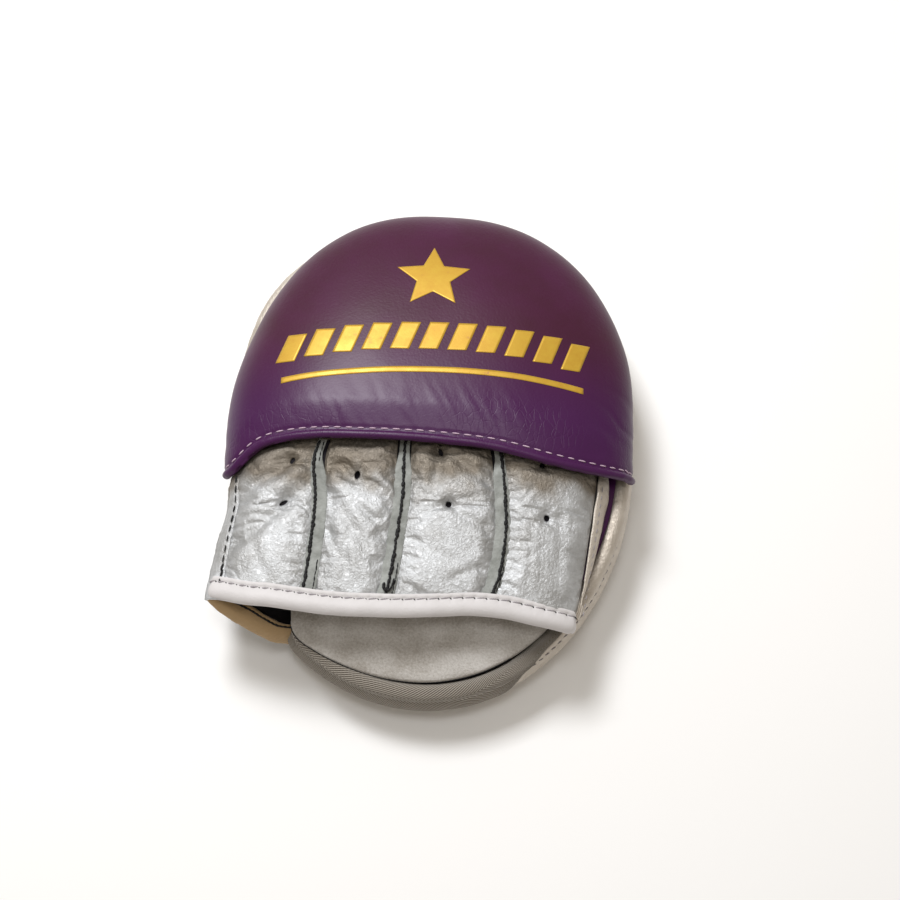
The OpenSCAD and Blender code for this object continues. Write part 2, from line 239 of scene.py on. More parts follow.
def dome(u, v, depth):
    reach = pad["halfLength"] - depth
    y = mix(hemEdge(u), reach * 0.9998, math.sin(v ** 1.25 * math.pi / 2))
    fade = max(0, 1 - (max(0, y) / reach) ** pad["fingerPower"])
    across = math.sin(u * math.pi / 2)
    x = (pad["halfWidth"] - depth) * fade ** (1 / pad["fingerPower"]) * across + leanX(y)
    if x < 0:
        x *= 1 - hood["thumbTuck"] * smooth((y - hood["tuckFrom"]) / hood["tuckOver"])
    rise = (hood["height"] - depth) * (1 - hood["slope"] * max(0, y) / pad["halfLength"]) * math.sqrt(fade)
    z = hood["base"] + rise * arch(across)
    lip = 1 - smooth((y - hemEdge(u)) / hood["lipReach"])
    return Vector((x, y, z - hood["lipDrop"] * lip * arch(across)))


def lineX(name, v):
    return curve(glove[name], (v + 0.25) / 1.25)


def share(x, v):
    left = lineX("thumbEdge", v)
    return 2 * (x - left) / (lineX("littleEdge", v) - left) - 1


def back(s, v, depth=0):
    # a place on the back of the hand, from -1 to 1 across and from 0 at the hem to 1 at the cuff
    part = (s + 1) / 2
    x = mix(lineX("thumbEdge", v) + depth, lineX("littleEdge", v) - depth, part)
    y = mix(glove["top"] - glove["topArch"] * s * s, curve(glove["cuff"], part), v)
    low = hood["base"] + 0.4
    edge = mix(mix(low, low + 3.1, max(0, v)), low, part)
    return Vector((x, y, edge + (mix(glove["hemCrown"], glove["cuffCrown"], max(0, v)) - depth) * arch(s)))


def backFrame(x, v, depth=0):
    # the place a distance across, the way to the cuff, and the way out of the surface
    s = share(x, v)
    here = back(s, v, depth)
    along = (back(s, v + 0.01, depth) - back(s, v - 0.01, depth)).normalized()
    across = (back(min(1, s + 0.01), v, depth) - back(max(-1, s - 0.01), v, depth)).normalized()
    return here, along, along.cross(across).normalized()


# Mesh helpers

def gridMesh(columns, rows, place):
    made = bmesh.new()
    made.loops.layers.uv.new("UVMap")
    bmesh.ops.create_grid(made, x_segments=columns, y_segments=rows, size=1, calc_uvs=True)
    for v in made.verts:
        v.co = Vector(place((v.co.x + 1) / 2, (v.co.y + 1) / 2)) * mm
    return made


def weld(made):
    # joins a grid's edges where they meet, round a ring or at a point
    bmesh.ops.remove_doubles(made, verts=made.verts[:], dist=0.02 * mm)


def faceOut(made, outward=lambda p: Vector((0, 0, 1))):
    # turns all the faces if most of them look against a direction, which is upwards if none is given
    made.normal_update()
    if sum(f.normal.dot(outward(f.calc_center_median() / mm)) * f.calc_area() for f in made.faces) < 0:
        bmesh.ops.reverse_faces(made, faces=made.faces[:])
        made.normal_update()


def closeTube(made):
    # welds a grid into a tube and closes its ends
    weld(made)
    bmesh.ops.holes_fill(made, edges=[e for e in made.edges if e.is_boundary], sides=0)
    bmesh.ops.recalc_face_normals(made, faces=made.faces[:])


def relief(made, height):
    # moves each vertex along its normal by a height in millimetres
    made.normal_update()
    moves = [v.normal * height(v.co / mm) * mm for v in made.verts]
    for v, move in zip(made.verts, moves):
        v.co += move


def asMesh(name, made):
    mesh = bpy.data.meshes.new(name)
    made.to_mesh(mesh)
    made.free()
    return mesh


def addTo(made, extra):
    # puts one mesh at work into another
    mesh = asMesh("joined", extra)
    made.from_mesh(mesh)
    bpy.data.meshes.remove(mesh)


def newPiece(name, made, material, thickness=0, bodies=("pad",), stands=()):
    mesh = asMesh(name, made)
    mesh.shade_smooth()
    mesh.materials.append(material)
    piece = bpy.data.objects.new(name, mesh)
    scene.collection.objects.link(piece)
    if thickness:
        wall = piece.modifiers.new("wall", "SOLIDIFY")
        wall.thickness = thickness * mm
        wall.offset = -1
    if len(bodies) == 1:
        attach(piece, bodies[0])
    else:
        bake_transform(piece)
    if stands:
        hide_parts(*stands)
    return piece


def addStitch(made, centre, along, up, length, width, height):
    side = up.cross(along).normalized()
    along = side.cross(up).normalized()
    turn = Matrix((side * width / 2, along * length / 2, up * height / 2)).transposed().to_4x4()
    bmesh.ops.create_uvsphere(made, u_segments=8, v_segments=6, radius=1,
                              matrix=Matrix.Scale(mm, 4) @ Matrix.Translation(centre) @ turn)


def stitchRow(place, start, end, pitch, step, up, size, shift=(0, 0, 0)):
    # stitches along a line, each turned to where the line goes next
    made = bmesh.new()
    for t in paced(place, start, end, pitch):
        here, ahead = Vector(place(t)), Vector(place(t + step))
        addStitch(made, here + Vector(shift), (ahead - here).normalized(), up(here), *size)
    return made


# Materials

def linear(code):
    parts = [int(code[i:i + 2], 16) / 255 for i in (1, 3, 5)]
    return [c / 12.92 if c <= 0.04045 else ((c + 0.055) / 1.055) ** 2.4 for c in parts] + [1]


def addNode(tree, kind, inputs=None, stops=None, **settings):
    made = tree.nodes.new("ShaderNode" + kind)
    for name, value in settings.items():
        setattr(made, name, value)
    for name, value in (inputs or {}).items():
        if isinstance(value, bpy.types.NodeSocket):
            tree.links.new(value, made.inputs[name])
        else:
            made.inputs[name].default_value = value
    for i, (place, colour) in enumerate(stops or []):
        stop = made.color_ramp.elements[i] if i < 2 else made.color_ramp.elements.new(place)
        stop.position = place
        stop.color = linear(colour) if isinstance(colour, str) else (colour, colour, colour, 1)
    return made


def newMaterial(name, inputs):
    made = bpy.data.materials.new(name)
    made.use_nodes = True
    tree = made.node_tree
    shader = tree.nodes["Principled BSDF"]
    for socket, value in inputs.items():
        shader.inputs[socket].default_value = value
    return made, tree, shader


def wire(shader, colour, normal=None, rough=None):
    # links a material's last nodes to its shader
    links = shader.id_data.links
    links.new(colour, shader.inputs["Base Color"])
    if rough:
        links.new(rough, shader.inputs["Roughness"])
    if normal:
        links.new(normal, shader.inputs["Normal"])


def leather(name, look):
    # Tanned hide: a pebbled grain, finer creases over it, and a tone that drifts slowly
    made, tree, shader = newMaterial(name, {
        "Metallic": look["metal"], "Coat Weight": look.get("coat", 0), "Coat Roughness": 0.35,
        "Specular IOR Level": look.get("shine", 0.5)})
    place = addNode(tree, "TexCoord").outputs["Object"]
    tone = addNode(tree, "TexNoise", {"Vector": place, "Scale": 1 / (look["toneSize"] * mm), "Detail": 4,
                                      "Roughness": 0.6})
    colour = addNode(tree, "ValToRGB", {"Fac": tone.outputs["Fac"]}, look["tones"]).outputs["Color"]
    grain = addNode(tree, "TexVoronoi", {"Vector": place, "Scale": 1 / (look["grain"] * mm)},
                    feature="SMOOTH_F1")
    warp = addNode(tree, "TexNoise", {"Vector": place, "Scale": 1 / (look["crease"] * mm), "Detail": 5,
                                      "Roughness": 0.62, "Distortion": 1.1})
    ridge = addNode(tree, "Math", {0: warp.outputs["Fac"], 1: 0.5}, operation="SUBTRACT")
    ridge = addNode(tree, "Math", {0: ridge.outputs[0]}, operation="ABSOLUTE")
    ridge = addNode(tree, "Math", {0: ridge.outputs[0], 1: 0.12}, operation="MINIMUM")
    first = addNode(tree, "Bump", {"Height": grain.outputs["Distance"], "Strength": look["grainBump"],
                                   "Distance": look["grain"] * mm * 0.35}, invert=True)
    second = addNode(tree, "Bump", {"Height": ridge.outputs[0], "Strength": look["creaseBump"],
                                    "Distance": look["crease"] * mm * 1.2, "Normal": first.outputs["Normal"]})
    rough = addNode(tree, "MapRange", {"Value": tone.outputs["Fac"], "To Min": look["rough"][0],
                                       "To Max": look["rough"][1]})
    wire(shader, colour, second.outputs["Normal"], rough.outputs["Result"])
    return made, tree, shader, place, colour, second.outputs["Normal"]


waveScale = 900  # a wave texture's scale that puts its bands 0.35 mm apart


def cloth(name, tones):
    # Woven cloth: two crossing thread directions and a little loose fibre
    made, tree, shader = newMaterial(name, {"Roughness": 0.9, "Sheen Weight": 0.25,
                                            "Specular IOR Level": 0.2})
    place = addNode(tree, "TexCoord").outputs["Object"]
    warp, weft = [addNode(tree, "TexWave", {"Vector": place, "Scale": waveScale, "Distortion": 1.5},
                          bands_direction=way) for way in ("X", "Y")]
    weave = addNode(tree, "Math", {0: warp.outputs["Fac"], 1: weft.outputs["Fac"]}, operation="MAXIMUM")
    tone = addNode(tree, "ValToRGB", {"Fac": weave.outputs[0]}, tones)
    bump = addNode(tree, "Bump", {"Height": weave.outputs[0], "Strength": 0.5, "Distance": 0.2 * mm})
    wire(shader, tone.outputs["Color"], bump.outputs["Normal"])
    return made


def thread(name, tones, rough):
    # Bonded sewing thread: two plies laid round each other, with a waxy coat
    made, tree, shader = newMaterial(name, {"Roughness": rough, "Specular IOR Level": 0.35})
    place = addNode(tree, "TexCoord").outputs["Object"]
    plies = addNode(tree, "TexWave", {"Vector": place, "Scale": waveScale, "Distortion": 2},
                    bands_direction="DIAGONAL")
    tone = addNode(tree, "ValToRGB", {"Fac": plies.outputs["Fac"]}, tones)
    bump = addNode(tree, "Bump", {"Height": plies.outputs["Fac"], "Strength": 0.5, "Distance": 0.15 * mm})
    wire(shader, tone.outputs["Color"], bump.outputs["Normal"])
    return made


def nappaMaterial():
    # Dyed nappa, dull over the fingers and glossier at the hem, where it has cracked finely; its maroon turns
    # more purple towards the hem as painted light
    look = {"metal": 0, "coat": 0.24, "shine": 0.26, "toneSize": 28, "grain": 0.9, "grainBump": 0.16,
            "crease": 7, "creaseBump": 0.04, "rough": (0.5, 0.4),
            "tones": [(0.3, "#3d0e29"), (0.7, "#461338")]}
    made, tree, shader, place, colour, normal = leather("purpleNappa", look)
    apart = addNode(tree, "SeparateXYZ", {"Vector": place})
    # painted light: over the 45 mm nearest the hem the maroon is mixed to purple, standing in for how the
    # light falls there
    low = addNode(tree, "MapRange", {"Value": apart.outputs["Y"], "From Min": 45 * mm, "From Max": 0,
                                     "To Min": 0, "To Max": 1}, interpolation_type="SMOOTHSTEP")
    paintedHemLight = addNode(tree, "MixRGB", {"Fac": low.outputs["Result"], "Color1": colour,
                                       "Color2": linear("#3e0c43")})
    nearHem = addNode(tree, "MapRange", {"Value": apart.outputs["Y"], "From Min": 16 * mm, "From Max": 2 * mm,
                                         "To Min": 0, "To Max": 1}, interpolation_type="SMOOTHSTEP")
    drift = addNode(tree, "TexNoise", {"Vector": place, "Scale": 45, "Detail": 3})
    squeezed = addNode(tree, "Mapping", {"Vector": place, "Scale": (1, 0.5, 1), "Rotation": (0, 0, 0.5)})
    wander = addNode(tree, "TexNoise", {"Vector": place, "Scale": 1 / (5 * mm), "Detail": 3})
    bent = addNode(tree, "MixRGB", {"Fac": 0.0012, "Color1": squeezed.outputs["Vector"],
                                    "Color2": wander.outputs["Color"]})
    cracks = addNode(tree, "TexVoronoi", {"Vector": bent.outputs["Color"], "Scale": 1 / (2.6 * mm)},
                     feature="DISTANCE_TO_EDGE")
    line = addNode(tree, "MapRange", {"Value": cracks.outputs["Distance"], "From Min": 0, "From Max": 0.07})
    patchy = addNode(tree, "MapRange", {"Value": drift.outputs["Fac"], "From Min": 0.42, "From Max": 0.6})
    amount = addNode(tree, "Math", {0: nearHem.outputs["Result"], 1: patchy.outputs["Result"]},
                     operation="MULTIPLY")
    bump = addNode(tree, "Bump", {"Height": line.outputs["Result"], "Strength": amount.outputs[0],
                                  "Distance": 0.07 * mm, "Normal": normal})
    wire(shader, paintedHemLight.outputs["Color"], bump.outputs["Normal"])
    return made


def silverMaterial():
    # Goatskin under a pressed aluminium foil: satin, bright on the ridges, with a painted warm brown shadow
    # by the hem
    look = {"metal": 0.7, "toneSize": 14, "grain": 0.95, "grainBump": 0.5, "crease": 1.9, "creaseBump": 0.36,
            "rough": (0.46, 0.6), "tones": [(0.25, "#a5a5a4"), (0.6, "#c4c6c8")]}
    made, tree, shader, place, colour = leather("silverFoilLeather", look)[:5]
    apart = addNode(tree, "SeparateXYZ", {"Vector": place})
    # painted shade: the hood's shadow on the foil, a warm brown that deepens towards the hem along a wavering
    # edge
    drift = addNode(tree, "TexNoise", {"Vector": place, "Scale": 1 / (13 * mm), "Detail": 2})
    moved = addNode(tree, "Math", {0: drift.outputs["Fac"], 1: 26 * mm, 2: apart.outputs["Y"]},
                    operation="MULTIPLY_ADD")
    hemShadow = addNode(tree, "MapRange", {"Value": moved.outputs[0], "From Min": -18 * mm, "From Max": -4 * mm,
                                      "To Min": 0, "To Max": 0.8}, interpolation_type="SMOOTHSTEP")
    tone = addNode(tree, "MixRGB", {"Fac": hemShadow.outputs["Result"], "Color1": colour,
                                    "Color2": linear("#685a44")})
    wire(shader, tone.outputs["Color"])
    return made


def suedeMaterial():
    # Suede: a short nap with no gloss, which sparkles where single fibres stand up
    made, tree, shader = newMaterial("greySuede", {"Roughness": 0.95, "Sheen Weight": 0.35,
                                                   "Sheen Roughness": 0.6, "Specular IOR Level": 0.15})
    place = addNode(tree, "TexCoord").outputs["Object"]
    nap = addNode(tree, "TexNoise", {"Vector": place, "Scale": 1 / (0.9 * mm), "Detail": 3,
                                     "Roughness": 0.75})
    cloud = addNode(tree, "TexNoise", {"Vector": place, "Scale": 1 / (16 * mm), "Detail": 2})
    both = addNode(tree, "Math", {0: nap.outputs["Fac"], 1: cloud.outputs["Fac"]}, operation="ADD")
    half = addNode(tree, "Math", {0: both.outputs[0], 1: 0.5}, operation="MULTIPLY")
    tone = addNode(tree, "ValToRGB", {"Fac": half.outputs[0]}, [(0.36, "#9a948c"), (0.64, "#cac7c3")])
    bump = addNode(tree, "Bump", {"Height": nap.outputs["Fac"], "Strength": 0.8, "Distance": 0.5 * mm})
    wire(shader, tone.outputs["Color"], bump.outputs["Normal"])
    return made


def twillMaterial():
    # Herringbone cotton tape, about 25 mm wide before it is folded over
    made, tree, shader = newMaterial("herringboneTape", {"Roughness": 0.85, "Sheen Weight": 0.2,
                                                         "Specular IOR Level": 0.2})
    rib, thread, band = 1.71, 0.9, 12.5  # millimetres, the first two drawn about twice as coarse as real ones
    place = addNode(tree, "UVMap", uv_map="tapeMillimetres").outputs["UV"]
    apart = addNode(tree, "SeparateXYZ", {"Vector": place})
    zigzag = addNode(tree, "Math", {0: apart.outputs["Y"], 1: band}, operation="PINGPONG")
    shifted = addNode(tree, "Math", {0: zigzag.outputs[0], 1: 1.5}, operation="MULTIPLY")
    total = addNode(tree, "Math", {0: apart.outputs["X"], 1: shifted.outputs[0]}, operation="ADD")
    turns = addNode(tree, "Math", {0: total.outputs[0], 1: 2 * math.pi / rib}, operation="MULTIPLY")
    wave = addNode(tree, "Math", {0: turns.outputs[0]}, operation="SINE")
    cross = addNode(tree, "Math", {0: apart.outputs["Y"], 1: 2 * math.pi / thread}, operation="MULTIPLY")
    crossWave = addNode(tree, "Math", {0: cross.outputs[0]}, operation="SINE")
    small = addNode(tree, "Math", {0: crossWave.outputs[0], 1: 0.25}, operation="MULTIPLY")
    weave = addNode(tree, "Math", {0: wave.outputs[0], 1: small.outputs[0]}, operation="ADD")
    height = addNode(tree, "MapRange", {"Value": weave.outputs[0], "From Min": -1.2, "From Max": 1.2})
    tone = addNode(tree, "ValToRGB", {"Fac": height.outputs["Result"]}, [(0.15, "#5d554c"), (0.8, "#aba49a")])
    bump = addNode(tree, "Bump", {"Height": height.outputs["Result"], "Strength": 0.9, "Distance": 0.45 * mm})
    wire(shader, tone.outputs["Color"], bump.outputs["Normal"])
    return made


def foamMaterial():
    # Closed-cell foam: dark, with cells about a millimetre across on its cut faces
    made, tree, shader = newMaterial("closedCellFoam", {"Roughness": 0.9, "Specular IOR Level": 0.2})
    place = addNode(tree, "TexCoord").outputs["Object"]
    cells = addNode(tree, "TexVoronoi", {"Vector": place, "Scale": 1 / (1.1 * mm)})
    tone = addNode(tree, "ValToRGB", {"Fac": cells.outputs["Distance"]}, [(0.1, "#3a3a3d"), (0.7, "#4c4c50")])
    bump = addNode(tree, "Bump", {"Height": cells.outputs["Distance"], "Strength": 0.6, "Distance": 0.4 * mm})
    wire(shader, tone.outputs["Color"], bump.outputs["Normal"])
    return made


def goldMaterial():
    # Gold film pressed on with a hot die: smooth and bright, rubbed thin in small patches
    made, tree, shader = newMaterial("pressedGoldFilm", {"Metallic": 0.35, "Specular IOR Level": 0.6})
    place = addNode(tree, "TexCoord").outputs["Object"]
    rubbed = addNode(tree, "TexNoise", {"Vector": place, "Scale": 1 / (6 * mm), "Detail": 6,
                                        "Roughness": 0.7})
    tone = addNode(tree, "ValToRGB", {"Fac": rubbed.outputs["Fac"]},
                   [(0.26, "#a5764c"), (0.36, "#c4982f"), (0.75, "#d2ad3c")])
    rough = addNode(tree, "MapRange", {"Value": rubbed.outputs["Fac"], "To Min": 0.55, "To Max": 0.34})
    bump = addNode(tree, "Bump", {"Height": rubbed.outputs["Fac"], "Strength": 0.15, "Distance": 0.3 * mm})
    wire(shader, tone.outputs["Color"], bump.outputs["Normal"], rough.outputs["Result"])
    return made


purpleNappa = nappaMaterial()
silverLeather = silverMaterial()
# The same foil over thinner skin, stretched round the edge: a warmer tone and short cross lines
rimLeather = leather("champagneFoilLeather", {
    "metal": 0.5, "toneSize": 12, "grain": 0.9, "grainBump": 0.35, "crease": 2.6, "creaseBump": 0.35,
    "rough": (0.4, 0.52), "tones": [(0.25, "#b1a79b"), (0.7, "#cdc5ba")]})[0]
# Split leather with no foil: dull grey and slightly fibrous
stripLeather = leather("greySplitLeather", {
    "metal": 0, "shine": 0.2, "toneSize": 5, "grain": 0.7, "grainBump": 0.4, "crease": 3, "creaseBump": 0.3,
    "rough": (0.75, 0.9), "tones": [(0.3, "#777975"), (0.7, "#a3a6a3")]})[0]
# Corrected-grain white leather: smooth and matt, with a faint pink cast
bindingLeather = leather("whiteBindingLeather", {
    "metal": 0, "shine": 0.35, "toneSize": 9, "grain": 0.6, "grainBump": 0.18, "crease": 4,
    "creaseBump": 0.12, "rough": (0.5, 0.62), "tones": [(0.2, "#c8c5c5"), (0.8, "#d2cfd0")]})[0]
suede = suedeMaterial()
twillTape = twillMaterial()
foam = foamMaterial()
goldFilm = goldMaterial()
tanLining = cloth("tanDrillLining", [(0.2, "#8f7454"), (0.8, "#b89c74")])
darkLining = cloth("blackDrillLining", [(0.2, "#08070a"), (0.8, "#17131b")])
whiteThread = thread("whiteBondedThread", [(0.2, "#a98da2"), (0.8, "#d2bccb")], 0.5)
blackThread = thread("blackBondedThread", [(0.2, "#060606"), (0.8, "#17171a")], 0.55)
greyThread = thread("greyBondedThread", [(0.2, "#7d787b"), (0.8, "#a7a2a6")], 0.55)
print("materials made")


# The hood

hoodPiece = {
    "columns": 230,
    "rows": 140,
    "bead": 1.7,
    "stitchPitch": 4.6,
    "stitchLength": 3.1,
    "stitchWidth": 0.66,
    "stitchHeight": 0.75,
    "stitchFromHem": 2.3,
}


def hemGroove(x, y):
    # the leather is drawn down along the row of stitches
    across = min(1, abs(x) / (pad["halfWidth"] - 1))
    u = math.copysign(math.asin(across) * 2 / math.pi, x)
    off = (y - hemEdge(u) - hoodPiece["stitchFromHem"]) / 0.9
    return -0.45 * math.exp(-off * off)


def ridged(x, y, z, sharp):
    # thin raised or sunk lines where a noise passes through zero
    return max(0, 1 - abs(noise.noise(Vector((x, y, z)))) * sharp)


def hoodRelief(p):
    # soft swells, then slanting folds and fine cracks by the hem, and pleats at its two corners
    x, y = p.x, p.y
    swell = 0.8 * ripple(x, y, 3, 48) + 0.2 * ripple(x, y, 9, 17)
    atHem = math.exp(-((y - 3) / 11) ** 2) * smooth(1.5 - abs(x + 5) / 45)
    fold = ridged((x * 0.9 + y * 0.45) / 4, y / 26, 0.4, 2.6) * 0.2 * atHem
    crackle = ridged(x / 2.2, y / 3.2, 3, 3) * 0.05 * atHem
    corner = smooth((x - 54) / 18) * smooth((30 - y) / 26)
    pleat = ridged((x * 0.5 + y) / 9 + 0.4 * ripple(x, y, 2, 14), (x - y) / 24, 7, 3) * 0.28 * corner
    thumbCorner = smooth((-58 - x) / 18) * smooth((20 - y) / 26)
    pleat += ridged((x * 0.6 + y) / 9, (x - y) / 40, 2, 3) * 0.25 * thumbCorner
    return swell - fold - crackle - pleat + hemGroove(x, y)


def makeHood():
    made = gridMesh(hoodPiece["columns"], hoodPiece["rows"], lambda a, b: dome(a * 2 - 1, b, 0.8))
    weld(made)
    faceOut(made)
    relief(made, hoodRelief)
    surface = BVHTree.FromBMesh(made)
    newPiece("hoodLeather", made, purpleNappa, hood["skin"], stands=("hood_shell",))
    return surface


def makeHemBead():
    # the leather is folded round a cord at the hem
    def place(a, b):
        u = mix(-0.988, 0.985, a)
        turn = 2 * math.pi * b
        end = 0.5 + 0.5 * smooth(min(a, 1 - a) * 60)
        r = hoodPiece["bead"] * (1 + 0.1 * ripple(u * 60, 0, turn, 4)) * end
        out = (dome(u, 0, 1.3) - dome(u, 0, 2.3)).normalized()
        return dome(u, 0, 2.2) + r * (math.cos(turn) * Vector((0, -1, 0)) + 1.1 * math.sin(turn) * out)
    made = gridMesh(260, 16, place)
    closeTube(made)
    newPiece("hemBead", made, purpleNappa, stands=("hood_hem_roll",))


def makeHemStitches(surface):
    random.seed(4)
    made = bmesh.new()

    def onHood(u):
        beside = dome(u, 0, 0.8) + Vector((0, hoodPiece["stitchFromHem"], 0.4))
        hit, normal, _, _ = surface.find_nearest(beside * mm)
        return hit / mm, normal
    for u in paced(lambda u: onHood(u)[0], -0.93, 0.95, hoodPiece["stitchPitch"]):
        here, normal = onHood(u)
        along = (onHood(u + 0.012)[0] - onHood(u - 0.012)[0]).normalized()
        long = hoodPiece["stitchLength"] * random.uniform(0.9, 1.1)
        addStitch(made, here + normal * 0.1, along, normal, long, hoodPiece["stitchWidth"],
                  hoodPiece["stitchHeight"])
    newPiece("hemStitches", made, whiteThread, stands=("hood_hem_thread",))


def makeHoodInside():
    # the lining starts under the bead and falls back to the finger stalls
    made = gridMesh(60, 30, lambda a, b: dome(mix(-0.985, 0.985, a), b * 0.66,
                                              mix(3.2, 9.2, smooth(b * 3.5))))
    faceOut(made, lambda p: Vector((0, 0, -1)))
    newPiece("hoodLining", made, darkLining, 0.8, stands=("hood_lining",))
    made = gridMesh(60, 40, lambda a, b: dome(mix(-0.94, 0.94, a), mix(0.2, 0.97, b), 2.8))
    faceOut(made)
    newPiece("hoodPadding", made, foam, hood["foam"], stands=("hood_foam",))


# Foil marks: a star, a row of slanted bars and a stripe

foil = {
    "bars": 11,
    "barsWidth": 124,
    "barsAt": 36,
    "barsBow": 6,  # how far the ends of the row fall back
    "barHalfHeight": 6.2,
    "barShare": 0.34,  # half a bar's width as a share of its place
    "slant": 2.2,
    "stripeHalf": 0.48,  # as a share of the bars' width
    "stripeAt": 20.5,
    "stripeBow": 4,
    "stripeHalfHeight": 1.3,
    "starAt": (-1, 64),
    "starRadius": 15.5,
    "starInner": 0.46,
    "film": 0.09,
}


def layOn(made, surface, lift):
    # drops a flat mesh onto the hood
    for v in made.verts:
        hit, normal, _, _ = surface.ray_cast(Vector((v.co.x, v.co.y, 0.09)), Vector((0, 0, -1)))
        v.co = hit + normal * lift * mm


def makeFoil(surface):
    made = bmesh.new()
    half = foil["barsWidth"] / foil["bars"] * foil["barShare"]
    for i in range(foil["bars"]):
        x = foil["barsWidth"] * ((i + 0.5) / foil["bars"] - 0.5)
        y = foil["barsAt"] - foil["barsBow"] * (2 * x / foil["barsWidth"]) ** 2
        bar = bmesh.ops.create_grid(made, x_segments=8, y_segments=14, size=1)["verts"]
        for v in bar:
            tall = v.co.y
            aside = half * v.co.x
            v.co = Vector((x + aside + foil["slant"] * tall, y + foil["barHalfHeight"] * tall, 0)) * mm
    stripe = bmesh.ops.create_grid(made, x_segments=110, y_segments=3, size=1)["verts"]
    for v in stripe:
        s = v.co.x
        y = foil["stripeAt"] - foil["stripeBow"] * s * s + foil["stripeHalfHeight"] * v.co.y
        v.co = Vector((foil["stripeHalf"] * foil["barsWidth"] * s, y, 0)) * mm
    starX, starY = foil["starAt"]
    star = bmesh.ops.create_circle(made, cap_ends=True, cap_tris=True, segments=10, radius=1)["verts"]
    corners = [v for v in star if v.co.length > 0.5]
    corners.sort(key=lambda v: math.atan2(v.co.x, v.co.y) % (2 * math.pi))
    for i, v in enumerate(corners):
        r = foil["starRadius"] * (1 if i % 2 == 0 else foil["starInner"])
        turn = math.pi * i / 5
        v.co = Vector((r * math.sin(turn) + starX, r * math.cos(turn) + starY, 0)) * mm
    for v in star:
        if v not in corners:
            v.co = Vector((starX, starY, 0)) * mm
    starEdges = list({e for v in star for e in v.link_edges})
    bmesh.ops.subdivide_edges(made, edges=starEdges, cuts=9, use_grid_fill=True)
    layOn(made, surface, 0.05)
    faceOut(made)
    piece = newPiece("hoodFoil", made, goldFilm, foil["film"], stands=("hood_print",))
    piece.modifiers["wall"].offset = 1


hoodSurface = makeHood()
makeHemBead()
makeHemStitches(hoodSurface)
makeHoodInside()
makeFoil(hoodSurface)
print("hood made")


# The leather over the back of the hand

# each vent's place, half width, half height and turn in degrees
vents = [(-53.5, -14.7, 0.8, 1.3, -30), (-56, -32, 1.9, 0.75, 32), (-27.8, -21.2, 1.1, 1.5, -10),
         (4.2, -10.6, 0.8, 1.7, 20), (7.9, -31.7, 1.1, 1.1, 0), (44, -13.8, 1.1, 1.2, 0),
         (46, -34.7, 1.1, 1.3, 0)]
# valleys in each finger's leather: where each starts and ends, how deep it is and how wide
folds = {
    "index": [(-52, -13, -76, -32, 1.7, 3.4), (-46, -24, -77, -51, 1.5, 3.6),
              (-58, -37, -80, -37.5, 0.5, 1.1), (-60, -41, -80, -40.5, 0.5, 1.1),
              (-66, -50, -60, -64, 0.5, 2.2), (-50, -42, -54, -60, 0.4, 2.0)],
    "middle": [(-42, -15, -12, -33, 1.5, 3.4), (-41, -27, -19, -57, 0.9, 2.6), (-40, -40, -27, -64, 0.7, 2.2),
               (-33, -27, -14, -47, 0.6, 1.8), (-30, -45, -31, -66, 0.4, 1.5)],
    "ring": [(3, -6, 3, -25, 1.5, 3.0), (5, -11, 27, -25, 1.1, 3.0), (7, -31, 28, -45, 0.9, 2.2),
             (8, -32, -4, -37, 0.8, 2.2), (8, -31, 24, -28, 0.7, 1.8), (-6, -46, 24, -60, 0.5, 2.6),
             (10, -62, 27, -52, 0.6, 2.0)],
    "little": [(33, -55, 46, -46, 0.4, 1.4), (46, -34, 40, -27, 0.4, 1.2), (40, -40, 39, -66, 0.3, 1.6),
               (52, -30, 50, -64, 0.3, 2.2), (34, -30, 42, -22, 0.3, 1.2)],
}
allFolds = [fold for finger in folds.values() for fold in finger]
panelCloth = {
    "columns": 40,
    "rows": 72,
    "tuck": 0.9,  # how far an edge is drawn down to its seam
    "bulge": 1.1,
    "simScale": 10,
    "frames": 20,
    "quality": 6,
    "mass": 0.4,
    "stretch": 25,
    "shear": 12,
    "bend": 0.6,
    "pressure": 3,
    "grow": 0.03,
    "cap": 1.1,
}


def foldDepth(x, y):
    total = 0
    for x0, y0, x1, y1, deep, wide in allFolds:
        dx, dy = x1 - x0, y1 - y0
        long = math.hypot(dx, dy)
        t = ((x - x0) * dx + (y - y0) * dy) / (long * long)
        if -0.25 < t < 1.3:
            side = ((x - x0) * dy - (y - y0) * dx) / long + 1.6 * ripple(x, y, deep * 40, 10)
            q = side / wide
            fade = smooth((t + 0.25) * 2.4) * smooth((1.3 - t) * 1.4)
            fade *= 0.75 + 0.6 * ripple(x, y, wide * 30, 8)
            banks = 0.35 * math.exp(-1.1 * (abs(q) - 1.7) ** 2)
            total += 0.85 * deep * fade * (math.exp(-1.5 * q * q) - banks)
    return total


def panelRelief(p):
    x, y = p.x, p.y
    fine = ridged(x / 1.9, y / 2.8, 5, 2.4) * 0.045
    middle = ridged(x / 7 + y / 15, y / 11 - x / 30, 1, 2.4) * 0.09
    return 0.35 * ripple(x, y, 11, 14) - middle - fine - foldDepth(x, y)


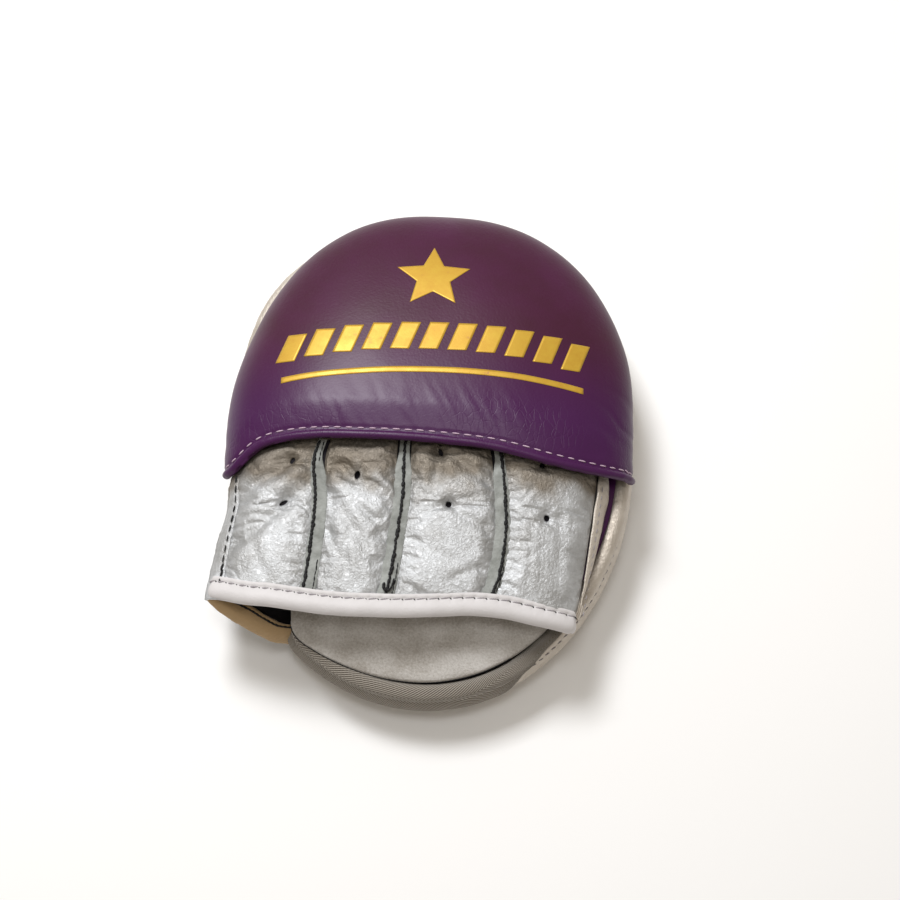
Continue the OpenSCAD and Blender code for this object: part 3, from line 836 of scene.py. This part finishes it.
def swellPanel(made, pinned, settings):
    # lets the leather swell and crumple between its seams, at ten times its size, and caps each move
    start = [v.co.copy() for v in made.verts]
    for v in made.verts:
        v.co *= settings["simScale"]
    mesh = bpy.data.meshes.new("panelAtWork")
    made.to_mesh(mesh)
    worker = bpy.data.objects.new("panelAtWork", mesh)
    scene.collection.objects.link(worker)
    group = worker.vertex_groups.new(name="sewn")
    for index, weight in enumerate(pinned):
        if weight > 0:
            group.add([index], weight, "REPLACE")
    swell = worker.modifiers.new("swell", "CLOTH")
    swell.settings.vertex_group_mass = "sewn"
    swell.settings.quality = settings["quality"]
    swell.settings.mass = settings["mass"]
    swell.settings.tension_stiffness = settings["stretch"]
    swell.settings.compression_stiffness = settings["stretch"]
    swell.settings.shear_stiffness = settings["shear"]
    swell.settings.bending_stiffness = settings["bend"]
    swell.settings.use_pressure = True
    swell.settings.uniform_pressure_force = settings["pressure"]
    swell.settings.shrink_min = -settings["grow"]
    swell.settings.effector_weights.gravity = 0
    swell.collision_settings.use_collision = False
    for step in range(1, settings["frames"] + 1):
        scene.frame_set(step)
    shaped = worker.evaluated_get(bpy.context.evaluated_depsgraph_get())
    moved = [v.co.copy() for v in shaped.to_mesh().vertices]
    shaped.to_mesh_clear()
    scene.frame_set(1)
    bpy.data.objects.remove(worker)
    bpy.data.meshes.remove(mesh)
    cap = settings["cap"] * mm
    for v, before, after in zip(made.verts, start, moved):
        step = after / settings["simScale"] - before
        v.co = before + step * min(1, cap / max(1e-9, step.length))


def ventPlace(p, vent):
    # a place in a vent's own turned frame, in shares of its size
    x, y, halfX, halfY, turn = vent
    c, s = math.cos(math.radians(turn)), math.sin(math.radians(turn))
    dx, dy = p.x - x, p.y - y
    return (dx * c + dy * s) / halfX, (dy * c - dx * s) / halfY


def cutVent(made, vent):
    # opens an oval hole and draws its rim in
    x, y, halfX, halfY, turn = vent
    c, s = math.cos(math.radians(turn)), math.sin(math.radians(turn))
    inside = [f for f in made.faces if math.hypot(*ventPlace(f.calc_center_median() / mm, vent)) < 1]
    if not inside:
        return
    bmesh.ops.delete(made, geom=inside, context="FACES")
    for v in made.verts:
        a, b = ventPlace(v.co / mm, vent)
        far = math.hypot(a, b)
        if 0 < far < 3:
            if v.is_boundary:
                a, b = a / far * halfX, b / far * halfY
                v.co.x, v.co.y = (x + a * c - b * s) * mm, (y + a * s + b * c) * mm
            v.co.z -= 0.5 * mm * smooth((3 - far) / 2.2)


def liftPiece(name, made, material, thickness=0, stands=()):
    # a piece of the glove, spanning the pad and the cuff, left in place and tied to neither
    newPiece(name, made, material, thickness, ("pad", "glove_back"), stands)


def makePanel(name, node, lines, gaps):
    def place(a, b):
        v = mix(glove["under"], glove["panelEnd"], b)
        x = mix(lineX(lines[0], v) + gaps[0], lineX(lines[1], v) - gaps[1], a)
        fromEdge = min(a, 1 - a) * panelCloth["columns"]
        tuck = panelCloth["tuck"] * (1 - smooth(fromEdge / 3))
        bulge = panelCloth["bulge"] * math.sin(math.pi * a) ** 0.7 * smooth(b * 4) * smooth((1 - b) * 5)
        return back(share(x, v), v, 0.25 + tuck - bulge)

    made = gridMesh(panelCloth["columns"], panelCloth["rows"], place)
    faceOut(made)
    pinned = []
    for v in made.verts:
        p = v.co / mm
        held = 1 if v.is_boundary else 0.6 * smooth((p.y + 10) / 4)
        if any(math.hypot(*ventPlace(p, vent)) < 1.3 for vent in vents):
            held = 1
        pinned.append(held)
    swellPanel(made, pinned, panelCloth)
    bmesh.ops.subdivide_edges(made, edges=made.edges[:], cuts=1, use_grid_fill=True, smooth=0.6)
    edge = kdtree.KDTree(len(made.verts))
    for v in made.verts:
        if v.is_boundary:
            edge.insert(v.co, v.index)
    edge.balance()
    relief(made, lambda p: panelRelief(p) * smooth((edge.find(p * mm)[2] / mm + 0.3) / 3.4))
    for vent in vents:
        cutVent(made, vent)
    liftPiece(name, made, silverLeather, glove["leather"], (node,))


makePanel("indexBack", "index_back_panel", ("thumbSeam", "indexMiddle"), (-1.1, 1.0))
makePanel("middleBack", "middle_back_panel", ("indexMiddle", "middleRing"), (3.7, 2.9))
makePanel("ringBack", "ring_back_panel", ("middleRing", "ringLittle"), (2.4, 3.4))
makePanel("littleBack", "little_back_panel", ("ringLittle", "littleSeam"), (1.2, 0.1))
print("finger backs made")


def makeStrip(name, line, node):
    left, right = strips[line]

    def place(a, b):
        v = mix(glove["under"], glove["panelEnd"], b)
        narrow = 0.45 + 0.55 * smooth((v + 0.05) / 0.18)  # the panels close over it at the hem
        x = lineX(line, v) + mix(-left * narrow - 0.8, right * narrow + 0.8, a)
        crown = 0.5 * math.sin(math.pi * a) + 0.15 * ripple(a * 4, b * 60, left, 1.6)
        return back(share(x, v), v, 0.9 - crown)
    made = gridMesh(12, 90, place)
    faceOut(made)
    liftPiece(name, made, stripLeather, 1, (node,))


# each thread's width, stitch length, pitch, depth in the leather and stray to the sides
threads = {
    "thick": (1.45, 2.5, 1.7, 0.15, 0.16),
    "thin": (0.55, 2.2, 2.1, 0.45, 0.08),
    "dashed": (0.8, 3.2, 4.1, -0.5, 0.03),
    "dashedLow": (1.35, 3.4, 3.0, -0.5, 0.08),
    "little": (0.45, 2.0, 3.4, -0.5, 0.04),
}
# each seam's strip, its thick thread and the thin thread beside it
seamNodes = {
    "indexMiddle": ("seam_strip_index_middle", "thread_index", "thread_middle_left"),
    "middleRing": ("seam_strip_middle_ring", "thread_middle_right", "thread_ring_left"),
    "ringLittle": ("seam_strip_ring_little", "thread_ring_right", "thread_little"),
}


def sewAlong(name, line, offset, style, start=-0.12, end=None):
    # hand-drawn tension leaves the stitches uneven
    random.seed(sum(ord(c) for c in name))
    made = bmesh.new()
    width, length, pitch, sink, stray = threads[style]
    last = glove["panelEnd"] - 0.02 if end is None else end
    for v in paced(lambda v: backFrame(lineX(line, v) + offset, v, sink)[0], start, last, pitch):
        here, along, up = backFrame(lineX(line, v) + offset, v, sink)
        across = up.cross(along)
        here += across * random.uniform(-stray, stray) + up * random.uniform(-0.1, 0.1)
        lean = (along + across * random.uniform(-2, 2) * stray).normalized()
        wide = width * random.uniform(0.7, 1.2)
        addStitch(made, here, lean, up, length * random.uniform(0.9, 1.15), wide, wide * 0.8)
    return made


def tieOff(made, line, offset, v):
    # the thread's end is knotted and leaves a short hooked tail
    knot, along, up = backFrame(lineX(line, v) + offset, v, -0.3)
    across = up.cross(along)
    tail = [(0, -4.5), (0.1, -3), (0.2, -1.5), (0.6, -0.1), (1.7, 0.6), (2.9, 0.2), (3.4, -0.9), (3.3, -1.9)]
    for k, (x, y) in enumerate(tail[:-1]):
        here, ahead = [knot - across * p[0] + along * p[1] for p in (tail[k], tail[k + 1])]
        fat = 0.8 if k < 3 else 1.25
        addStitch(made, (here + ahead) / 2, (ahead - here).normalized(), up, 2, fat, fat * 0.8)


def makeSeams():
    for line, (strip, thick, thin) in seamNodes.items():
        makeStrip(line + "Strip", line, strip)
        made = sewAlong(line + "Thread", line, 0, "thick")
        liftPiece(line + "Thread", made, blackThread, 0, (thick,))
        side = strips[line][1] - 0.2
        made = sewAlong(line + "Edge", line, side, "thin", 0.66)
        if line == "middleRing":
            tieOff(made, line, side - 0.4, glove["panelEnd"] - 0.055)
        else:
            addTo(made, sewAlong(line + "Top", line, side * 0.55, "thin", -0.12, 0.02))
        liftPiece(line + "Edge", made, blackThread, 0, (thin,))


def makeThumbSide():
    # the index leather is folded under along the thumb side, outside a dashed seam
    def place(a, b):
        v = mix(glove["under"], 0.99, b)
        wide = 1.0 + 0.3 * smooth(v * 1.8)
        x = mix(lineX("thumbSeam", v) + 0.6, lineX("thumbEdge", v) - wide, min(1, a * 1.5))
        under = smooth((a - 0.6) / 0.4)
        p = back(share(x, v), v, 0.35)
        p.x += -0.9 * math.sin(math.pi * min(1, a * 1.2)) + 1.8 * under + 0.4 * ripple(0, b * 60, 4, 5) * a
        p.z += 0.5 * math.sin(math.pi * a) - 3.2 * under
        return p
    made = gridMesh(16, 120, place)
    faceOut(made, lambda p: Vector((-0.5, 0, 1)))
    relief(made, lambda p: 0.25 * ripple(p.x, p.y * 3, 2, 7) - foldDepth(p.x, p.y) * 0.5
           - ridged(p.x / 9, p.y / 2.4, 6, 2.5) * 0.18)
    liftPiece("thumbSideFold", made, silverLeather, 1, ("thumb_side_strip",))
    made = sewAlong("thumbSide", "thumbSeam", 0, "dashed", 0.0, 0.72)
    addTo(made, sewAlong("thumbSideLow", "thumbSeam", 0.1, "dashedLow", 0.72))
    liftPiece("thumbSideStitches", made, blackThread, 0, ("thumb_side_thread",))


def makeLittleSide():
    # the little finger's leather is turned under once and sewn along its edge
    def place(a, b):
        v = mix(glove["under"], glove["panelEnd"], b)
        x = mix(lineX("littleSeam", v) - 0.3, lineX("littleEdge", v) + 0.2, min(1, a * 1.4))
        under = smooth((a - 0.65) / 0.35)
        p = back(min(0.999, share(x, v)), v, 0.15)
        p.z += 0.6 * math.sin(math.pi * min(1, a * 1.1)) - 1.6 * under
        p.x += 0.3 * math.sin(math.pi * a) - 0.8 * under + 0.25 * ripple(0, b * 70, 8, 5)
        return p
    made = gridMesh(12, 90, place)
    faceOut(made, lambda p: Vector((0.5, 0, 1)))
    liftPiece("littleSideFold", made, rimLeather, 0.9)
    made = sewAlong("littleSide", "littleSeam", 0.9, "little", 0.0)
    liftPiece("littleSideStitches", made, greyThread)


def makeBackLining():
    made = gridMesh(70, 40, lambda a, b: back(mix(-0.97, 0.97, a), mix(-0.2, 0.97, b), 2.6))
    faceOut(made, lambda p: Vector((0, 0, -1)))
    liftPiece("backLining", made, darkLining, 0.6, ("back_lining",))


makeSeams()
makeThumbSide()
makeLittleSide()
makeBackLining()
print("seams made")


# The white binding at the cuff

cuff = {
    "columns": 260,
    "stitchAt": 7.4,
    "pitch": 4.6,
    # the folded binding's section, from its upper edge round to its lower one
    "across": [9.6, 9.4, 8.4, 7.4, 6.2, 4.1, 2.3, 0.9, 0.6, 1.4, 3.2, 6, 9, 9.6, 9.6],
    "up": [0.2, 0.9, 1.1, 0.85, 1.35, 1.85, 1.5, 0.3, -1.2, -2.6, -3.1, -2.9, -2.7, -2.0, 0.2],
}


def cuffFrame(s):
    # the cuff's edge, the way up the hand and the way out of it
    edge = back(s, 1)
    inward = (back(s, 0.93) - edge).normalized()
    across = (back(min(1, s + 0.01), 1) - back(max(-1, s - 0.01), 1)).normalized()
    return edge, inward, across.cross(inward).normalized()


def makeCuff():
    stops = [mix(-1, 1, i / 20) for i in range(21)]
    long = sum((back(b, 1) - back(a, 1)).length for a, b in zip(stops, stops[1:]))

    def place(a, b):
        edge, inward, up = cuffFrame(mix(-1, 1, a))
        run = a * long
        across, lift = curve(cuff["across"], b), curve(cuff["up"], b)
        pull = abs((run / cuff["pitch"]) % 1 - 0.5) * 2
        if lift > 0:
            lift -= 0.45 * pull ** 3 * math.exp(-((across - cuff["stitchAt"]) / 1.3) ** 2)
        lift += 0.18 * ripple(run, across, 6, 7)
        end = 0.45 + 0.55 * smooth(min(a, 1 - a) * long / 2.2)
        middle = 4.2
        across = middle + (across - middle) * mix(1, end, 0.5) + 0.25 * ripple(run, 3, 8, 12)
        return edge + inward * across + up * (lift + 0.7) * end - up * 0.7
    made = gridMesh(cuff["columns"], 46, place)
    closeTube(made)
    newPiece("cuffBinding", made, bindingLeather, bodies=("glove_back",),
             stands=("cuff_binding",))
    stitches = bmesh.new()
    holeShades = bmesh.new()

    def row(s):
        edge, inward, up = cuffFrame(s)
        return edge + inward * cuff["stitchAt"] + up * 0.72
    for s in paced(row, -0.995, 0.985, cuff["pitch"]):
        inward, up = cuffFrame(s)[1:]
        along = (row(min(1, s + 0.01)) - row(max(-1, s - 0.01))).normalized()
        addStitch(stitches, row(s), along + inward * 0.1, up, 3.6, 0.8, 0.75)
        # painted shade: a black tick beside each stitch stands for the dark of its stitch hole
        addStitch(holeShades, row(s) + along * 2.1 - inward * 0.15, along - inward * 0.9, up, 1.0, 0.5, 0.7)
    newPiece("cuffStitches", stitches, greyThread, bodies=("glove_back",),
             stands=("cuff_thread",))
    newPiece("cuffStitchHoleShade", holeShades, blackThread, bodies=("glove_back",))


makeCuff()
print("cuff made")


# The rim, the side and the wrist edge

def aroundRelief(p):
    # short creases run across the roll, closer together than they are long
    x, y, z = p
    run = math.atan2(y / pad["halfLength"], x / pad["halfWidth"]) * 95
    return 0.2 * noise.noise(Vector((run / 6, z / 20, 8))) - 0.16 * ridged(run / 1.7, z / 9, 2, 2.2)


def makeRim():
    made = gridMesh(520, 16, lambda a, b: rollPoint(a * 2 * math.pi, b * 2 * math.pi, 0))
    weld(made)
    bmesh.ops.recalc_face_normals(made, faces=made.faces[:])
    relief(made, aroundRelief)
    newPiece("rimRoll", made, rimLeather, stands=("rim_roll",))
    made = gridMesh(520, 26, lambda a, b: gussetPoint(a * 2 * math.pi, b))
    weld(made)
    faceOut(made, lambda p: Vector((p.x, p.y, 0)))
    relief(made, lambda p: aroundRelief(p) * 0.8)
    newPiece("sideGusset", made, rimLeather, 1.2, stands=("side_gusset",))
    made = stitchRow(lambda t: gussetPoint(t, 0.88, 0.1), 0, 2 * math.pi, 3.4, 0.01,
                     lambda p: Vector((p.x, p.y, 12)).normalized(), (2.2, 0.5, 0.5))
    newPiece("rimStitches", made, greyThread)


tape = {
    "from": -137,  # degrees round the pad
    "to": -44,
    "inner": -14,  # degrees round the roll
    "outer": 188,
    "length": 150,
    "width": 30,
    "proud": 0.75,
}


def makeTape():
    def place(a, b):
        # from the suede's edge over the roll, then down the side
        degrees = mix(tape["from"], tape["to"], a)
        keep = b * (1 - 0.66 * smooth((degrees + 80) / 28))
        angle = math.radians(degrees)
        if keep < 0.5:
            turn = mix(tape["inner"], tape["outer"], keep / 0.5)
            return Vector(rollPoint(angle, math.radians(turn), tape["proud"]))
        down = mix(0.9, 0.28, (keep - 0.5) / 0.5)
        return Vector(gussetPoint(angle, down, 0.9))
    made = gridMesh(160, 44, place)
    faceOut(made, lambda p: Vector((p.x, p.y, 60)))
    plain = made.loops.layers.uv["UVMap"]
    run = made.loops.layers.uv.new("tapeMillimetres")
    for f in made.faces:
        for loop in f.loops:
            at = loop[plain].uv
            loop[run].uv = (at.x * tape["length"], at.y * tape["width"])
    relief(made, lambda p: 0.12 * ripple(p.x, p.y, p.z, 5))
    newPiece("wristTape", made, twillTape, 0.7, stands=("edge_tape",))


palm = {
    "top": pad["foamTop"] + 4.4,
    "crown": 2.8,
    "corner": -132.5,  # where the thumb side meets the edge, round the pad
    "end": -50,
    "insets": [0.2, 2.8, 5.2, 6.6, 7.1, 7.2, 7.2, 7.2],  # from the thumb side round to the other
}


def palmEdge(u):
    angle = math.radians(mix(palm["corner"], palm["end"], u))
    inset = curve(palm["insets"], u)
    x, y = outline(angle, inset)
    y0 = outline(angle, 0)[1]
    r = rollRadius(y0)
    rest = max(0.3, (r + 0.8) ** 2 - (inset - r - pad["rollGap"]) ** 2)
    return Vector((x, y, max(rollZ(y0) + math.sqrt(rest), pad["foamTop"] - drop(y) + 0.1)))


def palmPlace(u, v, lower=0):
    edge = palmEdge(u)
    x = mix(mix(-54, 58, u), edge.x, v ** 1.4)
    y = mix(-6, edge.y, v)
    crown = palm["crown"] * smooth(2.2 * u) * smooth(2.4 * (1 - u)) * smooth(3 * v) * smooth(2.4 * (1 - v))
    full = palm["top"] - drop(y) + crown
    keep = (1 - v ** 5) ** 0.55 if v < 1 else 0
    side = 1 - (1 - smooth(u * 9 + 0.25)) * 0.6 * v
    return Vector((x, y, mix(edge.z, full, keep * side) - lower))


def makePalm():
    made = gridMesh(110, 80, palmPlace)
    faceOut(made)
    relief(made, lambda p: 0.3 * ripple(p.x, p.y, 1, 22))
    newPiece("palmSuede", made, suede, 1.1, stands=("palm_lining",))
    made = gridMesh(40, 30, lambda a, b: palmPlace(mix(0.06, 0.94, a), mix(0.03, 0.9, b), 1.4))
    faceOut(made)
    newPiece("palmPadding", made, foam, 1.2, stands=("palm_cushion",))
    # a dark welt closes the joint between the suede and the tape, and its black also stands in for the shade
    # in that joint
    made = stitchRow(palmEdge, 0.0, 0.84, 1.7, 0.01, lambda p: Vector((0, 0, 1)), (2.4, 0.4, 0.3),
                     (0, 0, 0.15))
    newPiece("palmWeltShade", made, blackThread)


def makeBackLeather():
    # shows between the glove and the roll, and dips under the suede at the wrist
    def place(a, b):
        angle = a * 2 * math.pi
        flat = discPoint(angle, 7.2 + 8 * smooth((-58 - outline(angle, 0)[1]) / 12), b)
        high = pad["foamTop"] + 1.4 - drop(flat.y) + 0.5 * smooth((1 - b) * 9)
        return flat.x, flat.y, high - 3 * smooth((-52 - flat.y) / 8)
    made = gridMesh(180, 50, place)
    weld(made)
    faceOut(made)
    newPiece("backLeather", made, purpleNappa, 1, stands=("back_panel",))


def makeFoam(name, node, insets, follows):
    # a closed block whose sides run between two distances from the outline
    low, high = [corner[2] for corner in span(node)]

    def place(a, b):
        inset = mix(insets[0], insets[1], smooth((b - 0.35) / 0.3))
        flat = discPoint(a * 2 * math.pi, inset, min(1, b / 0.35, (1 - b) / 0.35))
        top = high - (drop(flat.y) if follows else 0)
        return flat.x, flat.y, mix(low, top, smooth((b - 0.35) / 0.3))
    made = gridMesh(120, 40, place)
    closeTube(made)
    newPiece(name, made, foam, stands=(node,))


def makeStrikeFace():
    # flat where the mitt lies, and drawn up a little to the seam at its edge
    def place(a, b):
        p = discPoint(a * 2 * math.pi, 9.6, b)
        return p.x, p.y, 0.05 + 0.75 * smooth((b - 0.955) / 0.045)
    made = gridMesh(180, 60, place)
    weld(made)
    faceOut(made, lambda p: Vector((0, 0, -1)))
    newPiece("strikeLeather", made, purpleNappa, 1.3, stands=("strike_face",))


makeRim()
makeTape()
makePalm()
makeBackLeather()
makeFoam("frontFoam", "front_foam", (10.8, 5.2), False)
makeFoam("coreFoam", "core_foam", (5.2, 5.2), False)
makeFoam("backFoam", "back_foam", (9.2, 9.2), True)
makeStrikeFace()
print("pad made")


# The thumb stall

thumb = {"halfWidth": 12, "halfHeight": 11.5, "tipY": tipHigh[1], "fullY": -48, "z": 19.5}
lip = {  # the mouth's edge, its seam and its inside, from the cuff's corner to the wrist
    "outer": [(-84, -69.5, 36.5), (-80.5, -72, 32), (-73.5, -75.2, 27), (-66, -78, 21.5), (-58.5, -79.7, 15),
              (-50.5, -78.6, 9.5)],
    "seam": [(-80, -66.5, 35.5), (-74.5, -68.4, 32.7), (-68, -70.7, 30), (-62.5, -72.9, 26),
             (-57.2, -74.6, 22.5), (-51.5, -74.6, 20)],
    "inner": [(-78, -64.5, 35), (-72.3, -66.6, 31.8), (-66.3, -69.4, 28.6), (-61.2, -71.6, 25),
              (-56.2, -73.2, 21.8), (-51.5, -73.4, 19.5)],
}


def thumbPoint(y, angle, depth):
    x = -69 - 2 * smooth((y + 40) / 20) + 1.5 * smooth((-50 - y) / 20)
    close = arch((max(y, thumb["fullY"]) - thumb["fullY"]) / (thumb["tipY"] - thumb["fullY"]))
    width = thumb["halfWidth"] * close - depth
    height = thumb["halfHeight"] * close - depth
    return Vector((x + width * math.cos(angle), y, thumb["z"] + height * math.sin(angle)))


def thumbRelief(p):
    x, y, z = p
    return 0.4 * ripple(x, y, z, 9) + 0.2 * ripple(x, y * 2.4, z, 4)


def makeThumb():
    bodies = ("pad", "thumb_stall")
    for name, start, node in (("thumbBack", 1, "thumb_tip_back"), ("thumbFront", 181, "thumb_tip_front")):
        made = gridMesh(44, 52, lambda a, b: thumbPoint(mix(-54, thumb["tipY"], 1 - (1 - b) ** 1.6),
                                                        math.radians(start + 178 * a), 0.3))
        weld(made)
        faceOut(made, lambda p: Vector((p.x + 70, 0, p.z - thumb["z"])))
        relief(made, thumbRelief)
        newPiece(name, made, silverLeather, 1.2, bodies, (node,))
    made = stitchRow(lambda y: thumbPoint(y, math.pi, -0.1), -48, thumb["tipY"] - 1.5, 3.1, 0.5,
                     lambda p: Vector((-1, 0, 0.2)).normalized(), (2.4, 0.6, 0.5))
    newPiece("thumbStitches", made, blackThread, 0, bodies, ("thumb_tip_thread",))


def makeThumbRoot():
    # silver leather from the mouth's edge to the stall
    def place(a, b):
        low = curve3(lip["outer"], a) + Vector((0.6, 1.5, -0.8))
        far = thumbPoint(-49, math.radians(mix(150, 352, a)), -0.3)
        p = low.lerp(far, b)
        p.x -= 1.5 * math.sin(math.pi * b) * (1 - a)
        p.z -= 1.2 * math.sin(math.pi * b) * a
        return p
    made = gridMesh(60, 36, place)
    faceOut(made, lambda p: Vector((p.x + 66, 0, p.z - 24)))
    relief(made, thumbRelief)
    newPiece("thumbRoot", made, silverLeather, 1, stands=("thumb_root_sleeve",))


def makeThumbLip():
    # the lining turns out over the mouth's edge and is sewn down
    def place(a, b):
        outer, seam, inner = [curve3(lip[k], a) for k in ("outer", "seam", "inner")]
        middle = outer.lerp(seam, 0.5) + Vector((0, -0.5, 1.1))
        groove = seam - Vector((0, 0, 0.3))
        inside = inner.lerp(seam, 0.45) + Vector((0, 0, 0.7))
        low = outer + Vector((0.8, 2.6, -1.6))
        deep = inner + Vector((0.3, 1.0, -4.5))
        return curve3([low, outer, middle, groove, inside, inner, deep], b)
    made = gridMesh(90, 42, place)
    faceOut(made)
    relief(made, lambda p: 0.35 * ripple(p.x, p.y, p.z, 8) - 0.15 * ridged(p.x / 3, p.y / 9, 1, 2.4))
    newPiece("thumbLip", made, tanLining, 0.9, stands=("thumb_floor_panel",))
    random.seed(9)
    made = bmesh.new()
    for t in paced(lambda t: curve3(lip["seam"], t), 0.02, 0.99, 1.9):
        here, ahead = curve3(lip["seam"], t), curve3(lip["seam"], t + 0.01)
        up = Vector((-0.2, -0.3, 1)).normalized()
        addStitch(made, here + Vector((0, -0.1, 0.15)), (ahead - here).normalized(), up, 2.6,
                  random.uniform(0.7, 1.05), 0.7)
    newPiece("thumbLipThread", made, blackThread)
    # painted shade: a black sheet deep in the mouth stands in for the dark shade inside the thumb stall
    made = gridMesh(40, 20, lambda a, b: curve3(lip["inner"], a)
                    + Vector((2 * b, 0.6 + 18 * b, -3 - 9 * b * a)))
    faceOut(made)
    newPiece("thumbMouthShade", made, darkLining, 0.7)


def makeThumbWall():
    # the glove's side runs down from the folded edge to the thumb stall
    def place(a, b):
        top = back(-1, mix(0.0, 0.96, a), 0.8)
        top.z -= 1.6
        y = top.y
        low = thumbPoint(max(-49, min(-30, y)), math.radians(150), 0.3)
        low.y = y
        low.x = mix(top.x + 2.5, low.x, smooth((-24 - y) / 26))
        low.z = mix(pad["foamTop"] + 0.6, 25.5, smooth((-40 - y) / 12))
        return low.lerp(top, b)
    made = gridMesh(70, 14, place)
    faceOut(made, lambda p: Vector((-1, 0, 0)))
    relief(made, lambda p: 0.3 * ripple(p.x, p.y * 1.6, p.z, 6))
    newPiece("thumbWall", made, silverLeather, 0.9, ("pad", "glove_back"))


makeThumb()
makeThumbRoot()
makeThumbLip()
makeThumbWall()
print("thumb made")


# CAD nodes that stay as they are, inside the mitt

for name in ("index_sleeve", "middle_sleeve", "ring_sleeve", "little_sleeve", "divider_index_middle",
             "divider_middle_ring", "divider_ring_little"):
    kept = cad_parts[name]
    kept.data.materials.clear()
    kept.data.materials.append(silverLeather)


# Floor, light and camera

lamps = {
    "window": {"place": (-0.26, 0.40, 0.86), "size": 0.28, "power": 8.2, "tint": "#fcfdff"},
    "overhead": {"place": (-0.02, -0.1, 0.95), "size": 0.22, "power": 1.5, "tint": "#ffffff"},
}
studio = {"floor": "#f4f4f4", "world": "#eee4d6", "worldStrength": 0.45, "lampsAim": (0, 0, 0.03)}
view = {"elevation": 69, "distance": 0.72, "lean": 2, "target": (0, -10.5, 30), "lens": 72, "shift": 0.023}


def makeStage():
    made = bmesh.new()
    bmesh.ops.create_grid(made, x_segments=1, y_segments=1, size=4)
    mesh = asMesh("floor", made)
    floor = bpy.data.objects.new("floor", mesh)
    scene.collection.objects.link(floor)
    paper = newMaterial("matteWhitePaper", {"Base Color": linear(studio["floor"]), "Roughness": 0.95})[0]
    mesh.materials.append(paper)


def makeLight(name, look):
    light = bpy.data.lights.new(name, "AREA")
    light.size = look["size"]
    light.energy = look["power"]
    light.color = linear(look["tint"])[:3]
    lamp = bpy.data.objects.new(name, light)
    scene.collection.objects.link(lamp)
    lamp.location = look["place"]
    lamp.rotation_mode = "QUATERNION"
    lamp.rotation_quaternion = (Vector(studio["lampsAim"]) - Vector(look["place"])).to_track_quat("-Z", "Y")


def makeCamera():
    elevation, lean = math.radians(view["elevation"]), math.radians(view["lean"])
    target = Vector(view["target"]) * mm
    backward = Vector((0, -math.cos(elevation), math.sin(elevation)))
    data = bpy.data.cameras.new("camera")
    data.lens = view["lens"]
    data.sensor_width = 36
    data.shift_x = view["shift"]
    data.shift_y = view["shift"]
    camera = bpy.data.objects.new("camera", data)
    scene.collection.objects.link(camera)
    camera.location = target + backward * view["distance"]
    camera.rotation_mode = "QUATERNION"
    tilt = Matrix.Rotation(lean, 4, "Z").to_quaternion()
    camera.rotation_quaternion = (-backward).to_track_quat("-Z", "Y") @ tilt
    scene.camera = camera


makeStage()
for name, look in lamps.items():
    makeLight(name, look)
world = bpy.data.worlds.new("studio")
world.use_nodes = True
glow = world.node_tree.nodes["Background"].inputs
glow["Color"].default_value = linear(studio["world"])
glow["Strength"].default_value = studio["worldStrength"]
scene.world = world
scene.view_settings.view_transform = "Standard"
makeCamera()
print("stage made")
